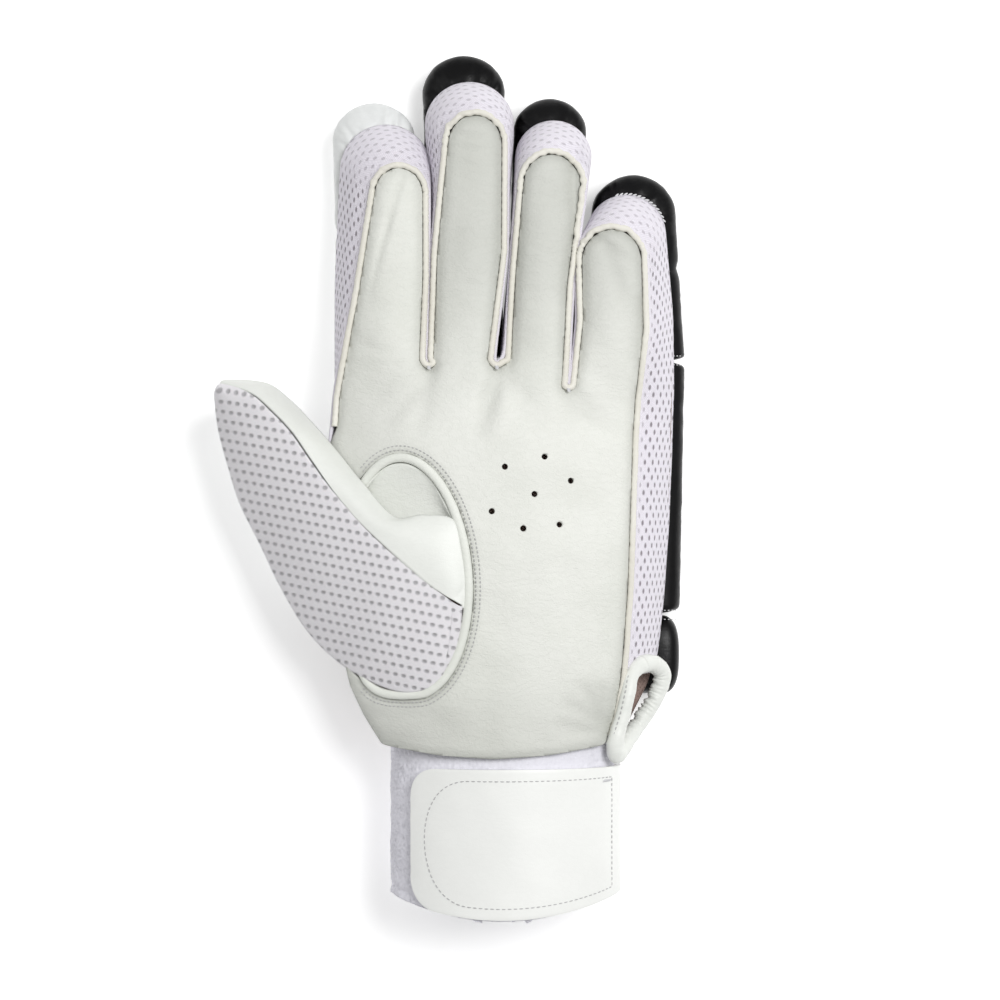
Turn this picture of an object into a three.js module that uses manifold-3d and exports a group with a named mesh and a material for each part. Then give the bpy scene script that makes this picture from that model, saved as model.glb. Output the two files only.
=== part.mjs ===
// Cricket batting glove for the left hand, lying on its padded back with the palm up.
// Millimetres. +X points to the little finger side, +Y to the fingertips, +Z out of the palm.
import * as THREE from "three";
import { mergeVertices } from "three/addons/utils/BufferGeometryUtils.js";
import Module from "manifold-3d";

const wasm = await Module();
wasm.setup();

// Driving sizes
const HAND_WIDTH = 97.4;
const HAND_LENGTH = 114;
const FINGER_REACH = 92;
const ROLL_DEPTH = 20;
const PALM_DEPTH = 33;
const LEATHER = 1.2;
const KNIT = 1.4;
const PANEL = 2;
const TOWELLING = 3;
const STRAP_THICKNESS = 2;
const GAP = 0.35;
const WELT_RADIUS = 1;
const THUMB_WELT_RADIUS = 1.3;
const BINDING_RADIUS = 2.4;
const CROTCH_RADIUS = 2.8;
const FORK_RADIUS = 0.9;
const VENT_DIAMETER = 1.6;
const FINGER_CROWN = 3;
const PALM_ARCH = 12;
const THUMB_LENGTH = 108.4;
const THUMB_WIDTH = 45;
const THUMB_DEPTH = 26;
const THUMB_ROLL_DEPTH = 15;
const THUMB_LEAN = THREE.MathUtils.degToRad(41.7);
const WRIST_WIDTH = 74;
const WRIST_DEPTH = 47;
const BAND_LENGTH = 51.5;
const HEM_DIP = 4;
const FRONT_HANG = 7.5;
const STRAP_LENGTH = 41.5;
const STRAP_CORNER = 10;
const CREASE_HALF = 3;
const WRIST_ROLL_WIDTH = 25;
const STEP_X = 5.5;
const PANEL_STEP_X = 8;
const MANY_LEVELS = 24;

// Levels above the surface that the glove lies on
const PANEL_TOP = ROLL_DEPTH + GAP + PANEL;
const WRIST_RISE = 5.2;
const THUMB_RISE = 14;
const WRIST_CENTRE = PANEL_TOP + WRIST_RISE;
const FINGER_BASE = HAND_LENGTH * 0.26;
const WRIST_LINE = FINGER_BASE - HAND_LENGTH;

// The palm face and the back face of each finger stall. The "at" and "half" columns are shares of
// the hand's width, and reach is a share of the fingers' reach past the base line.
const STALLS = [
  {
    finger: "index", face: "palm", baseAt: -0.25, baseHalf: 0.135, midAt: -0.212, midHalf: 0.108,
    tipAt: -0.185, tipHalf: 0.08, reach: 0.82,
  },
  {
    finger: "middle", face: "palm", baseAt: 0.024, baseHalf: 0.09, midAt: 0.054, midHalf: 0.107,
    tipAt: 0.073, tipHalf: 0.09, reach: 1.01,
  },
  {
    finger: "ring", face: "palm", baseAt: 0.28, baseHalf: 0.085, midAt: 0.298, midHalf: 0.086,
    tipAt: 0.334, tipHalf: 0.096, reach: 0.87,
  },
  {
    finger: "little", face: "palm", baseAt: 0.515, baseHalf: 0.1, midAt: 0.5405, midHalf: 0.1015,
    tipAt: 0.535, tipHalf: 0.1, reach: 0.6,
  },
  {
    finger: "index", face: "back", baseAt: -0.2455, baseHalf: 0.1575, midAt: -0.243, midHalf: 0.16,
    tipAt: -0.234, tipHalf: 0.151, reach: 0.99,
  },
  {
    finger: "middle", face: "back", baseAt: 0.0335, baseHalf: 0.1015, midAt: 0.0565, midHalf: 0.1185,
    tipAt: 0.0525, tipHalf: 0.1475, reach: 1.145,
  },
  {
    finger: "ring", face: "back", baseAt: 0.267, baseHalf: 0.107, midAt: 0.295, midHalf: 0.1,
    tipAt: 0.341, tipHalf: 0.126, reach: 1.005,
  },
  {
    finger: "little", face: "back", baseAt: 0.575, baseHalf: 0.173, midAt: 0.59, midHalf: 0.155,
    tipAt: 0.59, tipHalf: 0.13, reach: 0.735,
  },
];
const CROTCHES = [
  { at: -0.082, low: 0.1 },
  { at: 0.147, low: 0.1 },
  { at: 0.388, low: 0.02 },
];
// The side edges of the hand below the fingers: across as a share of its width, down as a share of
// its length below the finger base line.
const LEFT_EDGE = [
  { across: -0.385, down: 0, foot: -0.395 },
  { across: -0.405, down: 0.24, foot: -0.395 },
  { across: -0.395, down: 0.52, foot: -0.39 },
  { across: -0.368, down: 0.776, foot: -0.37 },
  { across: -0.335, down: 0.87, foot: -0.335 },
  { across: -0.29, down: 0.935, foot: -0.29 },
  { across: -0.24, down: 1, foot: -0.215 },
];
const RIGHT_EDGE = [
  { across: 0.615, down: 0, foot: 0.745 },
  { across: 0.605, down: 0.125, foot: 0.742 },
  { across: 0.596, down: 0.33, foot: 0.733 },
  { across: 0.588, down: 0.53, foot: 0.718 },
  { across: 0.575, down: 0.7, foot: 0.7 },
  { across: 0.565, down: 0.8, foot: 0.68 },
  { across: 0.545, down: 0.9, foot: 0.62 },
  { across: 0.513, down: 1, foot: 0.565 },
];
// Height of the leather over the back panel along the hand, as a share of the palm's depth.
const CROWNS = [
  { along: -0.53, rise: 0.97 },
  { along: -0.2, rise: 1 },
  { along: 0.05, rise: 0.93 },
  { along: 0.26, rise: 0.79 },
  { along: 0.6, rise: 0.63 },
  { along: 0.9, rise: 0.54 },
  { along: 1.15, rise: 0.48 },
];
const VENTS = [
  { across: 0.174, along: 0.059 },
  { across: 0.307, along: 0.088 },
  { across: 0.395, along: 0.019 },
  { across: 0.273, along: -0.019 },
  { across: 0.13, along: -0.068 },
  { across: 0.235, along: -0.117 },
  { across: 0.357, along: -0.106 },
];

// Small helpers
const mix = (a, b, t) => a + (b - a) * t;
const smooth = (low, high, v) => THREE.MathUtils.smoothstep(v, low, high);
const degrees = THREE.MathUtils.degToRad;

function readTable(rows, key, column, value) {
  const ordered = [...rows].sort((a, b) => a[key] - b[key]);
  if (value <= ordered[0][key]) return ordered[0][column];
  for (let i = 1; i < ordered.length; i += 1) {
    const [low, high] = [ordered[i - 1], ordered[i]];
    if (value <= high[key]) {
      const t = (value - low[key]) / (high[key] - low[key]);
      return mix(low[column], high[column], t * t * (3 - 2 * t) * 0.5 + t * 0.5);
    }
  }
  return ordered[ordered.length - 1][column];
}

function bodyFrom(vertices, triangles) {
  const raw = new THREE.BufferGeometry();
  raw.setAttribute("position", new THREE.Float32BufferAttribute(vertices.flat(), 3));
  raw.setIndex(triangles.flat());
  const geometry = mergeVertices(raw, 1e-4);
  const p = geometry.attributes.position;
  const index = geometry.index.array;
  const [a, b, c] = [new THREE.Vector3(), new THREE.Vector3(), new THREE.Vector3()];
  let volume = 0;
  for (let i = 0; i < index.length; i += 3) {
    a.fromBufferAttribute(p, index[i]);
    b.fromBufferAttribute(p, index[i + 1]);
    c.fromBufferAttribute(p, index[i + 2]);
    volume += a.dot(b.cross(c));
  }
  if (volume < 0) {
    for (let i = 0; i < index.length; i += 3) {
      [index[i], index[i + 1]] = [index[i + 1], index[i]];
    }
  }
  return geometry;
}

function solidOf(geometry) {
  const vertProperties = new Float32Array(geometry.attributes.position.array);
  const triVerts = new Uint32Array(geometry.index.array);
  return new wasm.Manifold(new wasm.Mesh({ numProp: 3, vertProperties, triVerts }));
}

function geometryOf(solid) {
  const mesh = solid.getMesh();
  const geometry = new THREE.BufferGeometry();
  geometry.setAttribute("position", new THREE.BufferAttribute(new Float32Array(mesh.vertProperties), 3));
  geometry.setIndex([...mesh.triVerts]);
  return mergeVertices(geometry, 1e-3);
}

// A sheet of the given thickness about a grid of points. A wrapped grid closes on itself.
function sheet(grid, thickness, wrapped = false) {
  const rows = grid.length;
  const columns = grid[0].length;
  const vertices = [];
  const at = (r, c) => grid[(r + rows) % rows][c];
  const clampRow = (r) => (wrapped ? r : Math.min(rows - 1, Math.max(0, r)));
  const side = (sign) => {
    for (let r = 0; r < rows; r += 1) {
      for (let c = 0; c < columns; c += 1) {
        const along = new THREE.Vector3().subVectors(
          new THREE.Vector3(...at(clampRow(r + 1), c)), new THREE.Vector3(...at(clampRow(r - 1), c)));
        const across = new THREE.Vector3().subVectors(
          new THREE.Vector3(...grid[r][Math.min(columns - 1, c + 1)]),
          new THREE.Vector3(...grid[r][Math.max(0, c - 1)]));
        const normal = along.cross(across).normalize().multiplyScalar(sign * thickness / 2);
        vertices.push([grid[r][c][0] + normal.x, grid[r][c][1] + normal.y, grid[r][c][2] + normal.z]);
      }
    }
  };
  side(1);
  side(-1);
  const top = (r, c) => (r % rows) * columns + c;
  const under = (r, c) => rows * columns + (r % rows) * columns + c;
  const triangles = [];
  const quad = (a, b, c, d) => triangles.push([a, b, c], [a, c, d]);
  const lastRow = wrapped ? rows : rows - 1;
  for (let r = 0; r < lastRow; r += 1) {
    for (let c = 0; c < columns - 1; c += 1) {
      quad(top(r, c), top(r + 1, c), top(r + 1, c + 1), top(r, c + 1));
      quad(under(r, c), under(r, c + 1), under(r + 1, c + 1), under(r + 1, c));
    }
    quad(top(r, 0), under(r, 0), under(r + 1, 0), top(r + 1, 0));
    quad(top(r, columns - 1), top(r + 1, columns - 1), under(r + 1, columns - 1), under(r, columns - 1));
  }
  if (!wrapped) {
    for (let c = 0; c < columns - 1; c += 1) {
      quad(top(0, c), top(0, c + 1), under(0, c + 1), under(0, c));
      quad(top(rows - 1, c), under(rows - 1, c), under(rows - 1, c + 1), top(rows - 1, c + 1));
    }
  }
  return bodyFrom(vertices, triangles);
}

// A sheet ruled between two edges, raised between them by the bulge of each row. A low "fullness"
// gives the arch a flat middle.
function ruled(edgeA, edgeB, columns, bulge, thickness, fullness = 1) {
  const grid = edgeA.map((a, i) => {
    const b = edgeB[i];
    const lift = typeof bulge === "function" ? bulge(i / (edgeA.length - 1)) : bulge;
    return Array.from({ length: columns + 1 }, (_, k) => {
      const t = k / columns;
      const arch = Math.sin(Math.PI * t) ** fullness;
      return [
        mix(a[0], b[0], t) + lift[0] * arch,
        mix(a[1], b[1], t) + lift[1] * arch,
        mix(a[2], b[2], t) + lift[2] * arch,
      ];
    });
  });
  return sheet(grid, thickness);
}

// A closed body through rings of equal length, with flat ends.
function loft(rings) {
  const count = rings[0].length;
  const vertices = rings.flat();
  const triangles = [];
  for (let r = 0; r < rings.length - 1; r += 1) {
    for (let c = 0; c < count; c += 1) {
      const next = (c + 1) % count;
      const [a, b] = [r * count + c, r * count + next];
      triangles.push([a, b, b + count], [a, b + count, a + count]);
    }
  }
  const last = (rings.length - 1) * count;
  for (let c = 1; c < count - 1; c += 1) {
    triangles.push([0, c + 1, c], [last, last + c, last + c + 1]);
  }
  return bodyFrom(vertices, triangles);
}

// A cord of round section along a path of points; a loop joins its own start.
function cord(path, radius, sides, loop = false) {
  const count = path.length;
  const rings = path.map((point, i) => {
    const before = path[loop ? (i + count - 1) % count : Math.max(0, i - 1)];
    const after = path[loop ? (i + 1) % count : Math.min(count - 1, i + 1)];
    const way = new THREE.Vector3(after[0] - before[0], after[1] - before[1], after[2] - before[2]).normalize();
    const flat = new THREE.Vector3(0, 0, 1).cross(way).normalize();
    const rise = new THREE.Vector3().crossVectors(way, flat);
    const size = typeof radius === "function" ? radius(i / (count - 1)) : radius;
    return Array.from({ length: sides }, (_, k) => {
      const angle = (k / sides) * Math.PI * 2;
      const spot = new THREE.Vector3(...point)
        .addScaledVector(flat, Math.cos(angle) * size)
        .addScaledVector(rise, Math.sin(angle) * size);
      return spot.toArray();
    });
  });
  if (!loop) return loft(rings);
  const vertices = rings.flat();
  const triangles = [];
  for (let r = 0; r < count; r += 1) {
    const next = (r + 1) % count;
    for (let c = 0; c < sides; c += 1) {
      const turn = (c + 1) % sides;
      triangles.push([r * sides + c, r * sides + turn, next * sides + turn]);
      triangles.push([r * sides + c, next * sides + turn, next * sides + c]);
    }
  }
  return bodyFrom(vertices, triangles);
}

// The upright block over an outline.
function block(outline, low, high) {
  const shape = new THREE.Shape(outline.map(([x, y]) => new THREE.Vector2(x, y)));
  const geometry = new THREE.ExtrudeGeometry(shape, { depth: high - low, bevelEnabled: false });
  geometry.deleteAttribute("normal");
  geometry.deleteAttribute("uv");
  geometry.translate(0, 0, low);
  return solidOf(bodyFrom(
    Array.from({ length: geometry.attributes.position.count }, (_, i) =>
      new THREE.Vector3().fromBufferAttribute(geometry.attributes.position, i).toArray()),
    Array.from({ length: geometry.attributes.position.count / 3 }, (_, i) => [3 * i, 3 * i + 1, 3 * i + 2])));
}

// A curved sheet over a plan rectangle, whose upper face follows a height function.
function heightSheet(spanX, stepX, levelsY, height, thickness) {
  const columns = Math.ceil((spanX[1] - spanX[0]) / stepX);
  const grid = levelsY.map((y) => Array.from({ length: columns + 1 }, (_, c) => {
    const x = mix(spanX[0], spanX[1], c / columns);
    return [x, y, height(x, y) - thickness / 2];
  }));
  return solidOf(sheet(grid, thickness));
}

const evenly = (from, to, count) => Array.from({ length: count + 1 }, (_, i) => mix(from, to, i / count));

// Plan outline of the hand
const X = (share) => share * HAND_WIDTH;
const crotchY = (crotch) => FINGER_BASE + crotch.low * FINGER_REACH;

function stallSide(stall, t, sign) {
  const at = t < 0.5 ? mix(stall.baseAt, stall.midAt, t * 2) : mix(stall.midAt, stall.tipAt, t * 2 - 1);
  const half = t < 0.5 ? mix(stall.baseHalf, stall.midHalf, t * 2) : mix(stall.midHalf, stall.tipHalf, t * 2 - 1);
  return X(at + sign * half);
}

const SIDE_STEPS = 4;
const TIP_STEPS = 8;
const CROTCH_STEPS = 4;

// The edge of one finger from its left root over the tip to its right root, moved out by "out".
function fingerEdge(face, number, out) {
  const stalls = STALLS.filter((stall) => stall.face === face);
  const stall = stalls[number];
  const leftRoot = number === 0 ? FINGER_BASE : crotchY(CROTCHES[number - 1]) + CROTCH_RADIUS;
  const rightRoot = number === 3 ? FINGER_BASE : crotchY(CROTCHES[number]) + CROTCH_RADIUS;
  const tipY = FINGER_BASE + stall.reach * FINGER_REACH;
  const shoulder = tipY - X(stall.tipHalf);
  const points = [];
  for (let i = 0; i < SIDE_STEPS; i += 1) {
    const t = i / SIDE_STEPS;
    points.push([stallSide(stall, t, -1) - out, mix(leftRoot, shoulder, t)]);
  }
  for (let i = 0; i <= TIP_STEPS; i += 1) {
    const angle = Math.PI * (1 - i / TIP_STEPS);
    const reach = X(stall.tipHalf) + out;
    points.push([X(stall.tipAt) + Math.cos(angle) * reach, shoulder + Math.sin(angle) * reach]);
  }
  for (let i = SIDE_STEPS - 1; i >= 0; i -= 1) {
    const t = i / SIDE_STEPS;
    points.push([stallSide(stall, t, 1) + out, mix(rightRoot, shoulder, t)]);
  }
  return points;
}

// The bottom of the fork between two fingers, from the left finger's root to the right one's.
function crotchEdge(number, out) {
  const crotch = CROTCHES[number];
  const radius = CROTCH_RADIUS - out;
  return Array.from({ length: CROTCH_STEPS - 1 }, (_, i) => {
    const angle = Math.PI * (1 + (i + 1) / CROTCH_STEPS);
    return [
      X(crotch.at) + Math.cos(angle) * radius,
      crotchY(crotch) + CROTCH_RADIUS + Math.sin(angle) * radius,
    ];
  });
}

function sideEdge(rows, column, out, from, to, steps) {
  return Array.from({ length: steps + 1 }, (_, i) => {
    const down = mix(from, to, i / steps);
    return [X(readTable(rows, "down", column, down)) + out, FINGER_BASE - down * HAND_LENGTH];
  });
}

function wholeOutline(face, out) {
  const column = face === "palm" ? "across" : "foot";
  const left = sideEdge(LEFT_EDGE, column, -out, 0, 1, 12);
  const right = sideEdge(RIGHT_EDGE, column, out, 0, 1, 12);
  const fingers = [0, 1, 2, 3].flatMap((number) => [
    ...fingerEdge(face, number, out),
    ...(number < 3 ? crotchEdge(number, face === "back" ? CROTCH_RADIUS - FORK_RADIUS : out) : []),
  ]);
  const hem = [0.75, 0.5, 0.25].map((t) => [
    mix(left[12][0], right[12][0], t), WRIST_LINE - HEM_DIP * Math.sin(Math.PI * t)]);
  return [...left.slice(1).reverse(), ...fingers, ...right.slice(1), ...hem];
}

// Heights
function palmHeight(x, y) {
  const down = (FINGER_BASE - y) / HAND_LENGTH;
  const rise = readTable(CROWNS, "along", "rise", y / HAND_LENGTH) * PALM_DEPTH;
  const left = X(readTable(LEFT_EDGE, "down", "across", down));
  const right = X(readTable(RIGHT_EDGE, "down", "across", down));
  const share = THREE.MathUtils.clamp((x - (left + right) / 2) / ((right - left) / 2), -1.1, 1.1);
  const palmDrop = PALM_ARCH * Math.abs(share) ** 2.4;
  const stalls = STALLS.filter((stall) => stall.face === "palm");
  const nearest = stalls.reduce((best, stall) =>
    (Math.abs(x - X(stall.midAt)) < Math.abs(x - X(best.midAt)) ? stall : best));
  const fromAxis = THREE.MathUtils.clamp((x - X(nearest.midAt)) / X(nearest.midHalf), -1.3, 1.3);
  const fingerDrop = FINGER_CROWN * fromAxis ** 2 + PALM_ARCH * 0.15 * share ** 2;
  const finger = smooth(FINGER_BASE - 6, FINGER_BASE + 24, y);
  return PANEL_TOP + rise - mix(palmDrop, fingerDrop, finger);
}

const WRIST_X = X(0.166);

function wristHeight(x, sign, halfWidth, halfDepth) {
  const share = THREE.MathUtils.clamp((x - WRIST_X) / halfWidth, -0.97, 0.97);
  return WRIST_CENTRE + sign * halfDepth * Math.sqrt(1 - share * share);
}

// The back panel is flat over the rolls and dips round the wristband at its lower end.
function panelHeight(x, y) {
  const low = wristHeight(x, -1, WRIST_WIDTH / 2 + 2.5, WRIST_DEPTH / 2 + GAP);
  const dip = 1 - smooth(WRIST_LINE + 3, WRIST_LINE + 16, y);
  return mix(PANEL_TOP, Math.min(PANEL_TOP, low), dip);
}

// The oval thumb hole, and the turns between which the welt runs round it
const WELT_FROM = -38;
const WELT_TO = 224;
const HOLE = { x: X(-0.154), y: -HAND_LENGTH * 0.2535, long: HAND_LENGTH * 0.339, wide: X(0.205), tilt: 0.077 };

// A point of the hole's rim, or outside it by "out". The rim is squarer at its lower left.
function holePoint(turn, out) {
  const power = mix(2, 3.6, smooth(Math.PI * 0.9, Math.PI * 1.2, turn));
  const size = (Math.abs(Math.cos(turn)) ** power + Math.abs(Math.sin(turn)) ** power) ** (-1 / power);
  const along = -Math.cos(turn) * (HOLE.long * size + out);
  const across = Math.sin(turn) * (HOLE.wide * size + out);
  return [
    HOLE.x + across * Math.cos(HOLE.tilt) + along * Math.sin(HOLE.tilt),
    HOLE.y - along * Math.cos(HOLE.tilt) + across * Math.sin(HOLE.tilt),
  ];
}

// Thumb frame: "along" runs from the tip to the palm, "out" towards the index finger.
const THUMB_TIP = [HOLE.x - 61.4, HOLE.y + 61.7];
const THUMB_MIDDLE = PANEL_TOP + THUMB_RISE;

function thumbPoint(along, out, level) {
  const [s, t] = [along * THUMB_LENGTH, out * THUMB_WIDTH];
  return [
    THUMB_TIP[0] + s * Math.cos(THUMB_LEAN) + t * Math.sin(THUMB_LEAN),
    THUMB_TIP[1] - s * Math.sin(THUMB_LEAN) + t * Math.cos(THUMB_LEAN),
    THUMB_MIDDLE + level * THUMB_DEPTH,
  ];
}

// Sections of the thumb. The left edge of the knitted panel, the seam between panel and band, and the
// band's far edge, each with its place along and out; the levels are shares of the thumb's depth.
const THUMB_ROWS = [
  {
    leftAlong: 0.012, left: -0.07, leftLevel: -0.02, seamAlong: 0.012, seam: 0.035, seamLevel: 0.1,
    sideAlong: 0.005, side: 0.06, sideLevel: 0.03,
  },
  {
    leftAlong: 0.087, left: -0.235, leftLevel: -0.1, seamAlong: 0.091, seam: 0.107, seamLevel: 0.3,
    sideAlong: 0.094, side: 0.222, sideLevel: 0,
  },
  {
    leftAlong: 0.184, left: -0.389, leftLevel: -0.12, seamAlong: 0.162, seam: 0.113, seamLevel: 0.4,
    sideAlong: 0.174, side: 0.247, sideLevel: 0,
  },
  {
    leftAlong: 0.28, left: -0.527, leftLevel: -0.13, seamAlong: 0.255, seam: 0.096, seamLevel: 0.47,
    sideAlong: 0.267, side: 0.229, sideLevel: 0,
  },
  {
    leftAlong: 0.41, left: -0.653, leftLevel: -0.13, seamAlong: 0.356, seam: 0.04, seamLevel: 0.54,
    sideAlong: 0.387, side: 0.191, sideLevel: 0.02,
  },
  {
    leftAlong: 0.535, left: -0.778, leftLevel: -0.1, seamAlong: 0.461, seam: -0.011, seamLevel: 0.6,
    sideAlong: 0.507, side: 0.149, sideLevel: 0.05,
  },
  {
    leftAlong: 0.68, left: -0.885, leftLevel: -0.02, seamAlong: 0.581, seam: -0.049, seamLevel: 0.66,
    sideAlong: 0.655, side: 0.122, sideLevel: 0.2,
  },
  {
    leftAlong: 0.81, left: -0.905, leftLevel: 0.1, seamAlong: 0.693, seam: -0.062, seamLevel: 0.72,
    sideAlong: 0.719, side: 0.298, sideLevel: 0.42,
  },
];
// Where the thumb's three sheets meet the oval hole: the turn round the hole of each end row.
const THUMB_END_ROWS = [
  { leftTurn: 221, sideTurn: 63, seamAlong: 0.775, seam: -0.064, seamLevel: 0.74 },
  { leftTurn: 190, sideTurn: 78, seamAlong: 0.858, seam: -0.058, seamLevel: 0.75 },
  { leftTurn: 162, sideTurn: 90, seamAlong: 0.925, seam: -0.038, seamLevel: 0.75 },
  { leftTurn: 138, sideTurn: 100, seamAlong: 0.968, seam: -0.02, seamLevel: 0.73 },
  { leftTurn: 117, sideTurn: 109, seamAlong: 0.983, seam: -0.012, seamLevel: 0.7 },
];
// The soft leather under the hem: from the welt to under the band.
const PATCH_ROWS = [
  { turn: -33, along: 0.5, out: 0.19, level: 0.02 },
  { turn: -18, along: 0.56, out: 0.185, level: 0.06 },
  { turn: 0, along: 0.62, out: 0.185, level: 0.12 },
  { turn: 18, along: 0.66, out: 0.235, level: 0.22 },
  { turn: 36, along: 0.69, out: 0.33, level: 0.36 },
  { turn: 54, along: 0.715, out: 0.42, level: 0.5 },
];
const atPalm = (point, lift) => [point[0], point[1], palmHeight(point[0], point[1]) + lift];

const parts = new THREE.Group();
const FINISHES = {
  leather: { color: 0xe0e2db, roughness: 0.7, metalness: 0 },
  knit: { color: 0xece8f2, roughness: 0.9, metalness: 0 },
  white: { color: 0xeeefeb, roughness: 0.45, metalness: 0 },
  black: { color: 0x141414, roughness: 0.35, metalness: 0 },
  piping: { color: 0xe1dfd4, roughness: 0.6, metalness: 0 },
  lining: { color: 0xa08a84, roughness: 0.9, metalness: 0 },
  towelling: { color: 0xe4e3eb, roughness: 1, metalness: 0 },
};

function add(name, geometry, finish) {
  const material = new THREE.MeshStandardMaterial(FINISHES[finish]);
  geometry.computeVertexNormals();
  const mesh = new THREE.Mesh(geometry, material);
  mesh.name = name;
  parts.add(mesh);
}

// Palm leather: one curved sheet cut to the outline, the thumb hole and the vent holes.
function palm() {
  const reach = X(0.08);
  const slab = heightSheet(
    [X(-0.385) - reach, X(0.615) + reach], STEP_X,
    evenly(WRIST_LINE - reach, FINGER_BASE + FINGER_REACH * 1.1, MANY_LEVELS), palmHeight, LEATHER);
  const clear = THUMB_WELT_RADIUS + GAP;
  const notch = Array.from({ length: 25 }, (_, i) => holePoint(degrees(mix(WELT_FROM, WELT_TO, i / 24)), clear));
  const beyond = X(-0.6);
  notch.push([beyond, HOLE.y - 5]);
  notch.push([beyond, THUMB_TIP[1]]);
  for (const row of THUMB_ROWS.slice(2, 6)) {
    notch.push(thumbPoint(row.sideAlong, row.side + 0.05, 0).slice(0, 2));
  }
  let solid = slab.intersect(block(wholeOutline("palm", 0), 0, 100));
  solid = solid.subtract(block(notch, 0, 100));
  for (const vent of VENTS) {
    const rim = Array.from({ length: 8 }, (_, i) => [
      X(vent.across) + Math.cos(i * Math.PI / 4) * VENT_DIAMETER / 2,
      vent.along * HAND_LENGTH + Math.sin(i * Math.PI / 4) * VENT_DIAMETER / 2,
    ]);
    solid = solid.subtract(block(rim, 0, 100));
  }
  add("palm", geometryOf(solid), "leather");
}

// The raised seam that runs round all four fingers and down both sides of the palm.
function palmWelt() {
  const clear = WELT_RADIUS + GAP + 0.15;
  const left = sideEdge(LEFT_EDGE, "across", -clear, 0, 1 / 12, 1);
  const right = sideEdge(RIGHT_EDGE, "across", clear, 0, 0.75, 9);
  const fingers = [0, 1, 2, 3].flatMap((number) => [
    ...fingerEdge("palm", number, clear),
    ...(number < 3 ? crotchEdge(number, clear) : []),
  ]);
  const path = [...left.slice(1).reverse(), ...fingers, ...right.slice(1)];
  add("palm_welt", cord(path.map((point) => atPalm(point, -LEATHER / 2)), WELT_RADIUS, 6), "piping");
}

// The knitted side wall of one finger, from under the welt down to the back panel. The sheet is thicker
// than a line, so its middle starts a little below the welt and ends a little above the panel.
const WALL_DROP = 1;
const WALL_FOOT = 0.5;

function fingerWall(name, number) {
  const upper = [...fingerEdge("palm", number, WELT_RADIUS + GAP)];
  const lower = [...fingerEdge("back", number, -KNIT)];
  const half = Math.floor(CROTCH_STEPS / 2);
  if (number > 0) {
    const from = crotchEdge(number - 1, WELT_RADIUS + GAP);
    const foot = crotchEdge(number - 1, WELT_RADIUS + GAP);
    upper.unshift(...from.slice(half));
    lower.unshift(...foot.slice(half));
  }
  if (number < 3) {
    upper.push(...crotchEdge(number, WELT_RADIUS + GAP).slice(0, half - 1));
    lower.push(...crotchEdge(number, WELT_RADIUS + GAP).slice(0, half - 1));
  }
  if (number === 0) {
    upper.unshift(...sideEdge(LEFT_EDGE, "across", -WELT_RADIUS - GAP, 0, 0.14, 2).slice(1).reverse());
    lower.unshift(...sideEdge(LEFT_EDGE, "foot", KNIT, 0, 0.14, 2).slice(1).reverse());
  }
  if (number === 3) {
    upper.push(...sideEdge(RIGHT_EDGE, "across", WELT_RADIUS + GAP, 0, 0.75, 9).slice(1));
    lower.push(...sideEdge(RIGHT_EDGE, "foot", -KNIT, 0, 0.75, 9).slice(1));
  }
  const grid = upper.map((point, i) => {
    const foot = lower[i];
    const top = palmHeight(point[0], point[1]) - LEATHER / 2 - WELT_RADIUS - GAP - WALL_DROP;
    const low = panelHeight(foot[0], foot[1]) + GAP + WALL_FOOT;
    return [0, 0.3, 0.65, 1].map((t) => [
      mix(point[0], foot[0], t ** 0.8), mix(point[1], foot[1], t ** 0.8), mix(top, low, t),
    ]);
  });
  add(name, sheet(grid, KNIT), "knit");
}

// The small fabric wall between palm and back at the thumb side of the wrist.
function sideGusset() {
  const upper = sideEdge(LEFT_EDGE, "across", 1, 0.79, 0.98, 4).map((p) => atPalm(p, -LEATHER - GAP - 1.2));
  const lower = sideEdge(LEFT_EDGE, "foot", KNIT, 0.79, 0.98, 4)
    .map(([x, y]) => [x, y, panelHeight(x, y) + GAP + 0.3]);
  add("side_gusset", ruled(upper, lower, 3, [0, 0, 0], KNIT), "knit");
}

// The back wall of the glove, which carries the rolls.
function backPanel() {
  const levels = [...evenly(WRIST_LINE - 8, WRIST_LINE + 18, 7), FINGER_BASE + FINGER_REACH * 1.2];
  const slab = heightSheet([X(-0.45), X(0.8)], PANEL_STEP_X, levels, panelHeight, PANEL);
  add("back_panel", geometryOf(slab.intersect(block(wholeOutline("back", 0), 0, 100))), "lining");
}

// The shape of a roll's end: its length, and its width and depth at the very end as shares of the roll's.
const TIP_END = { share: 0.46, wide: 0.36, deep: 0.42 };
const JOINT_END = { share: 0.14, wide: 0.84, deep: 0.62 };
const CORNER_END = { share: 0.26, wide: 0.66, deep: 0.5 };

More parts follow.
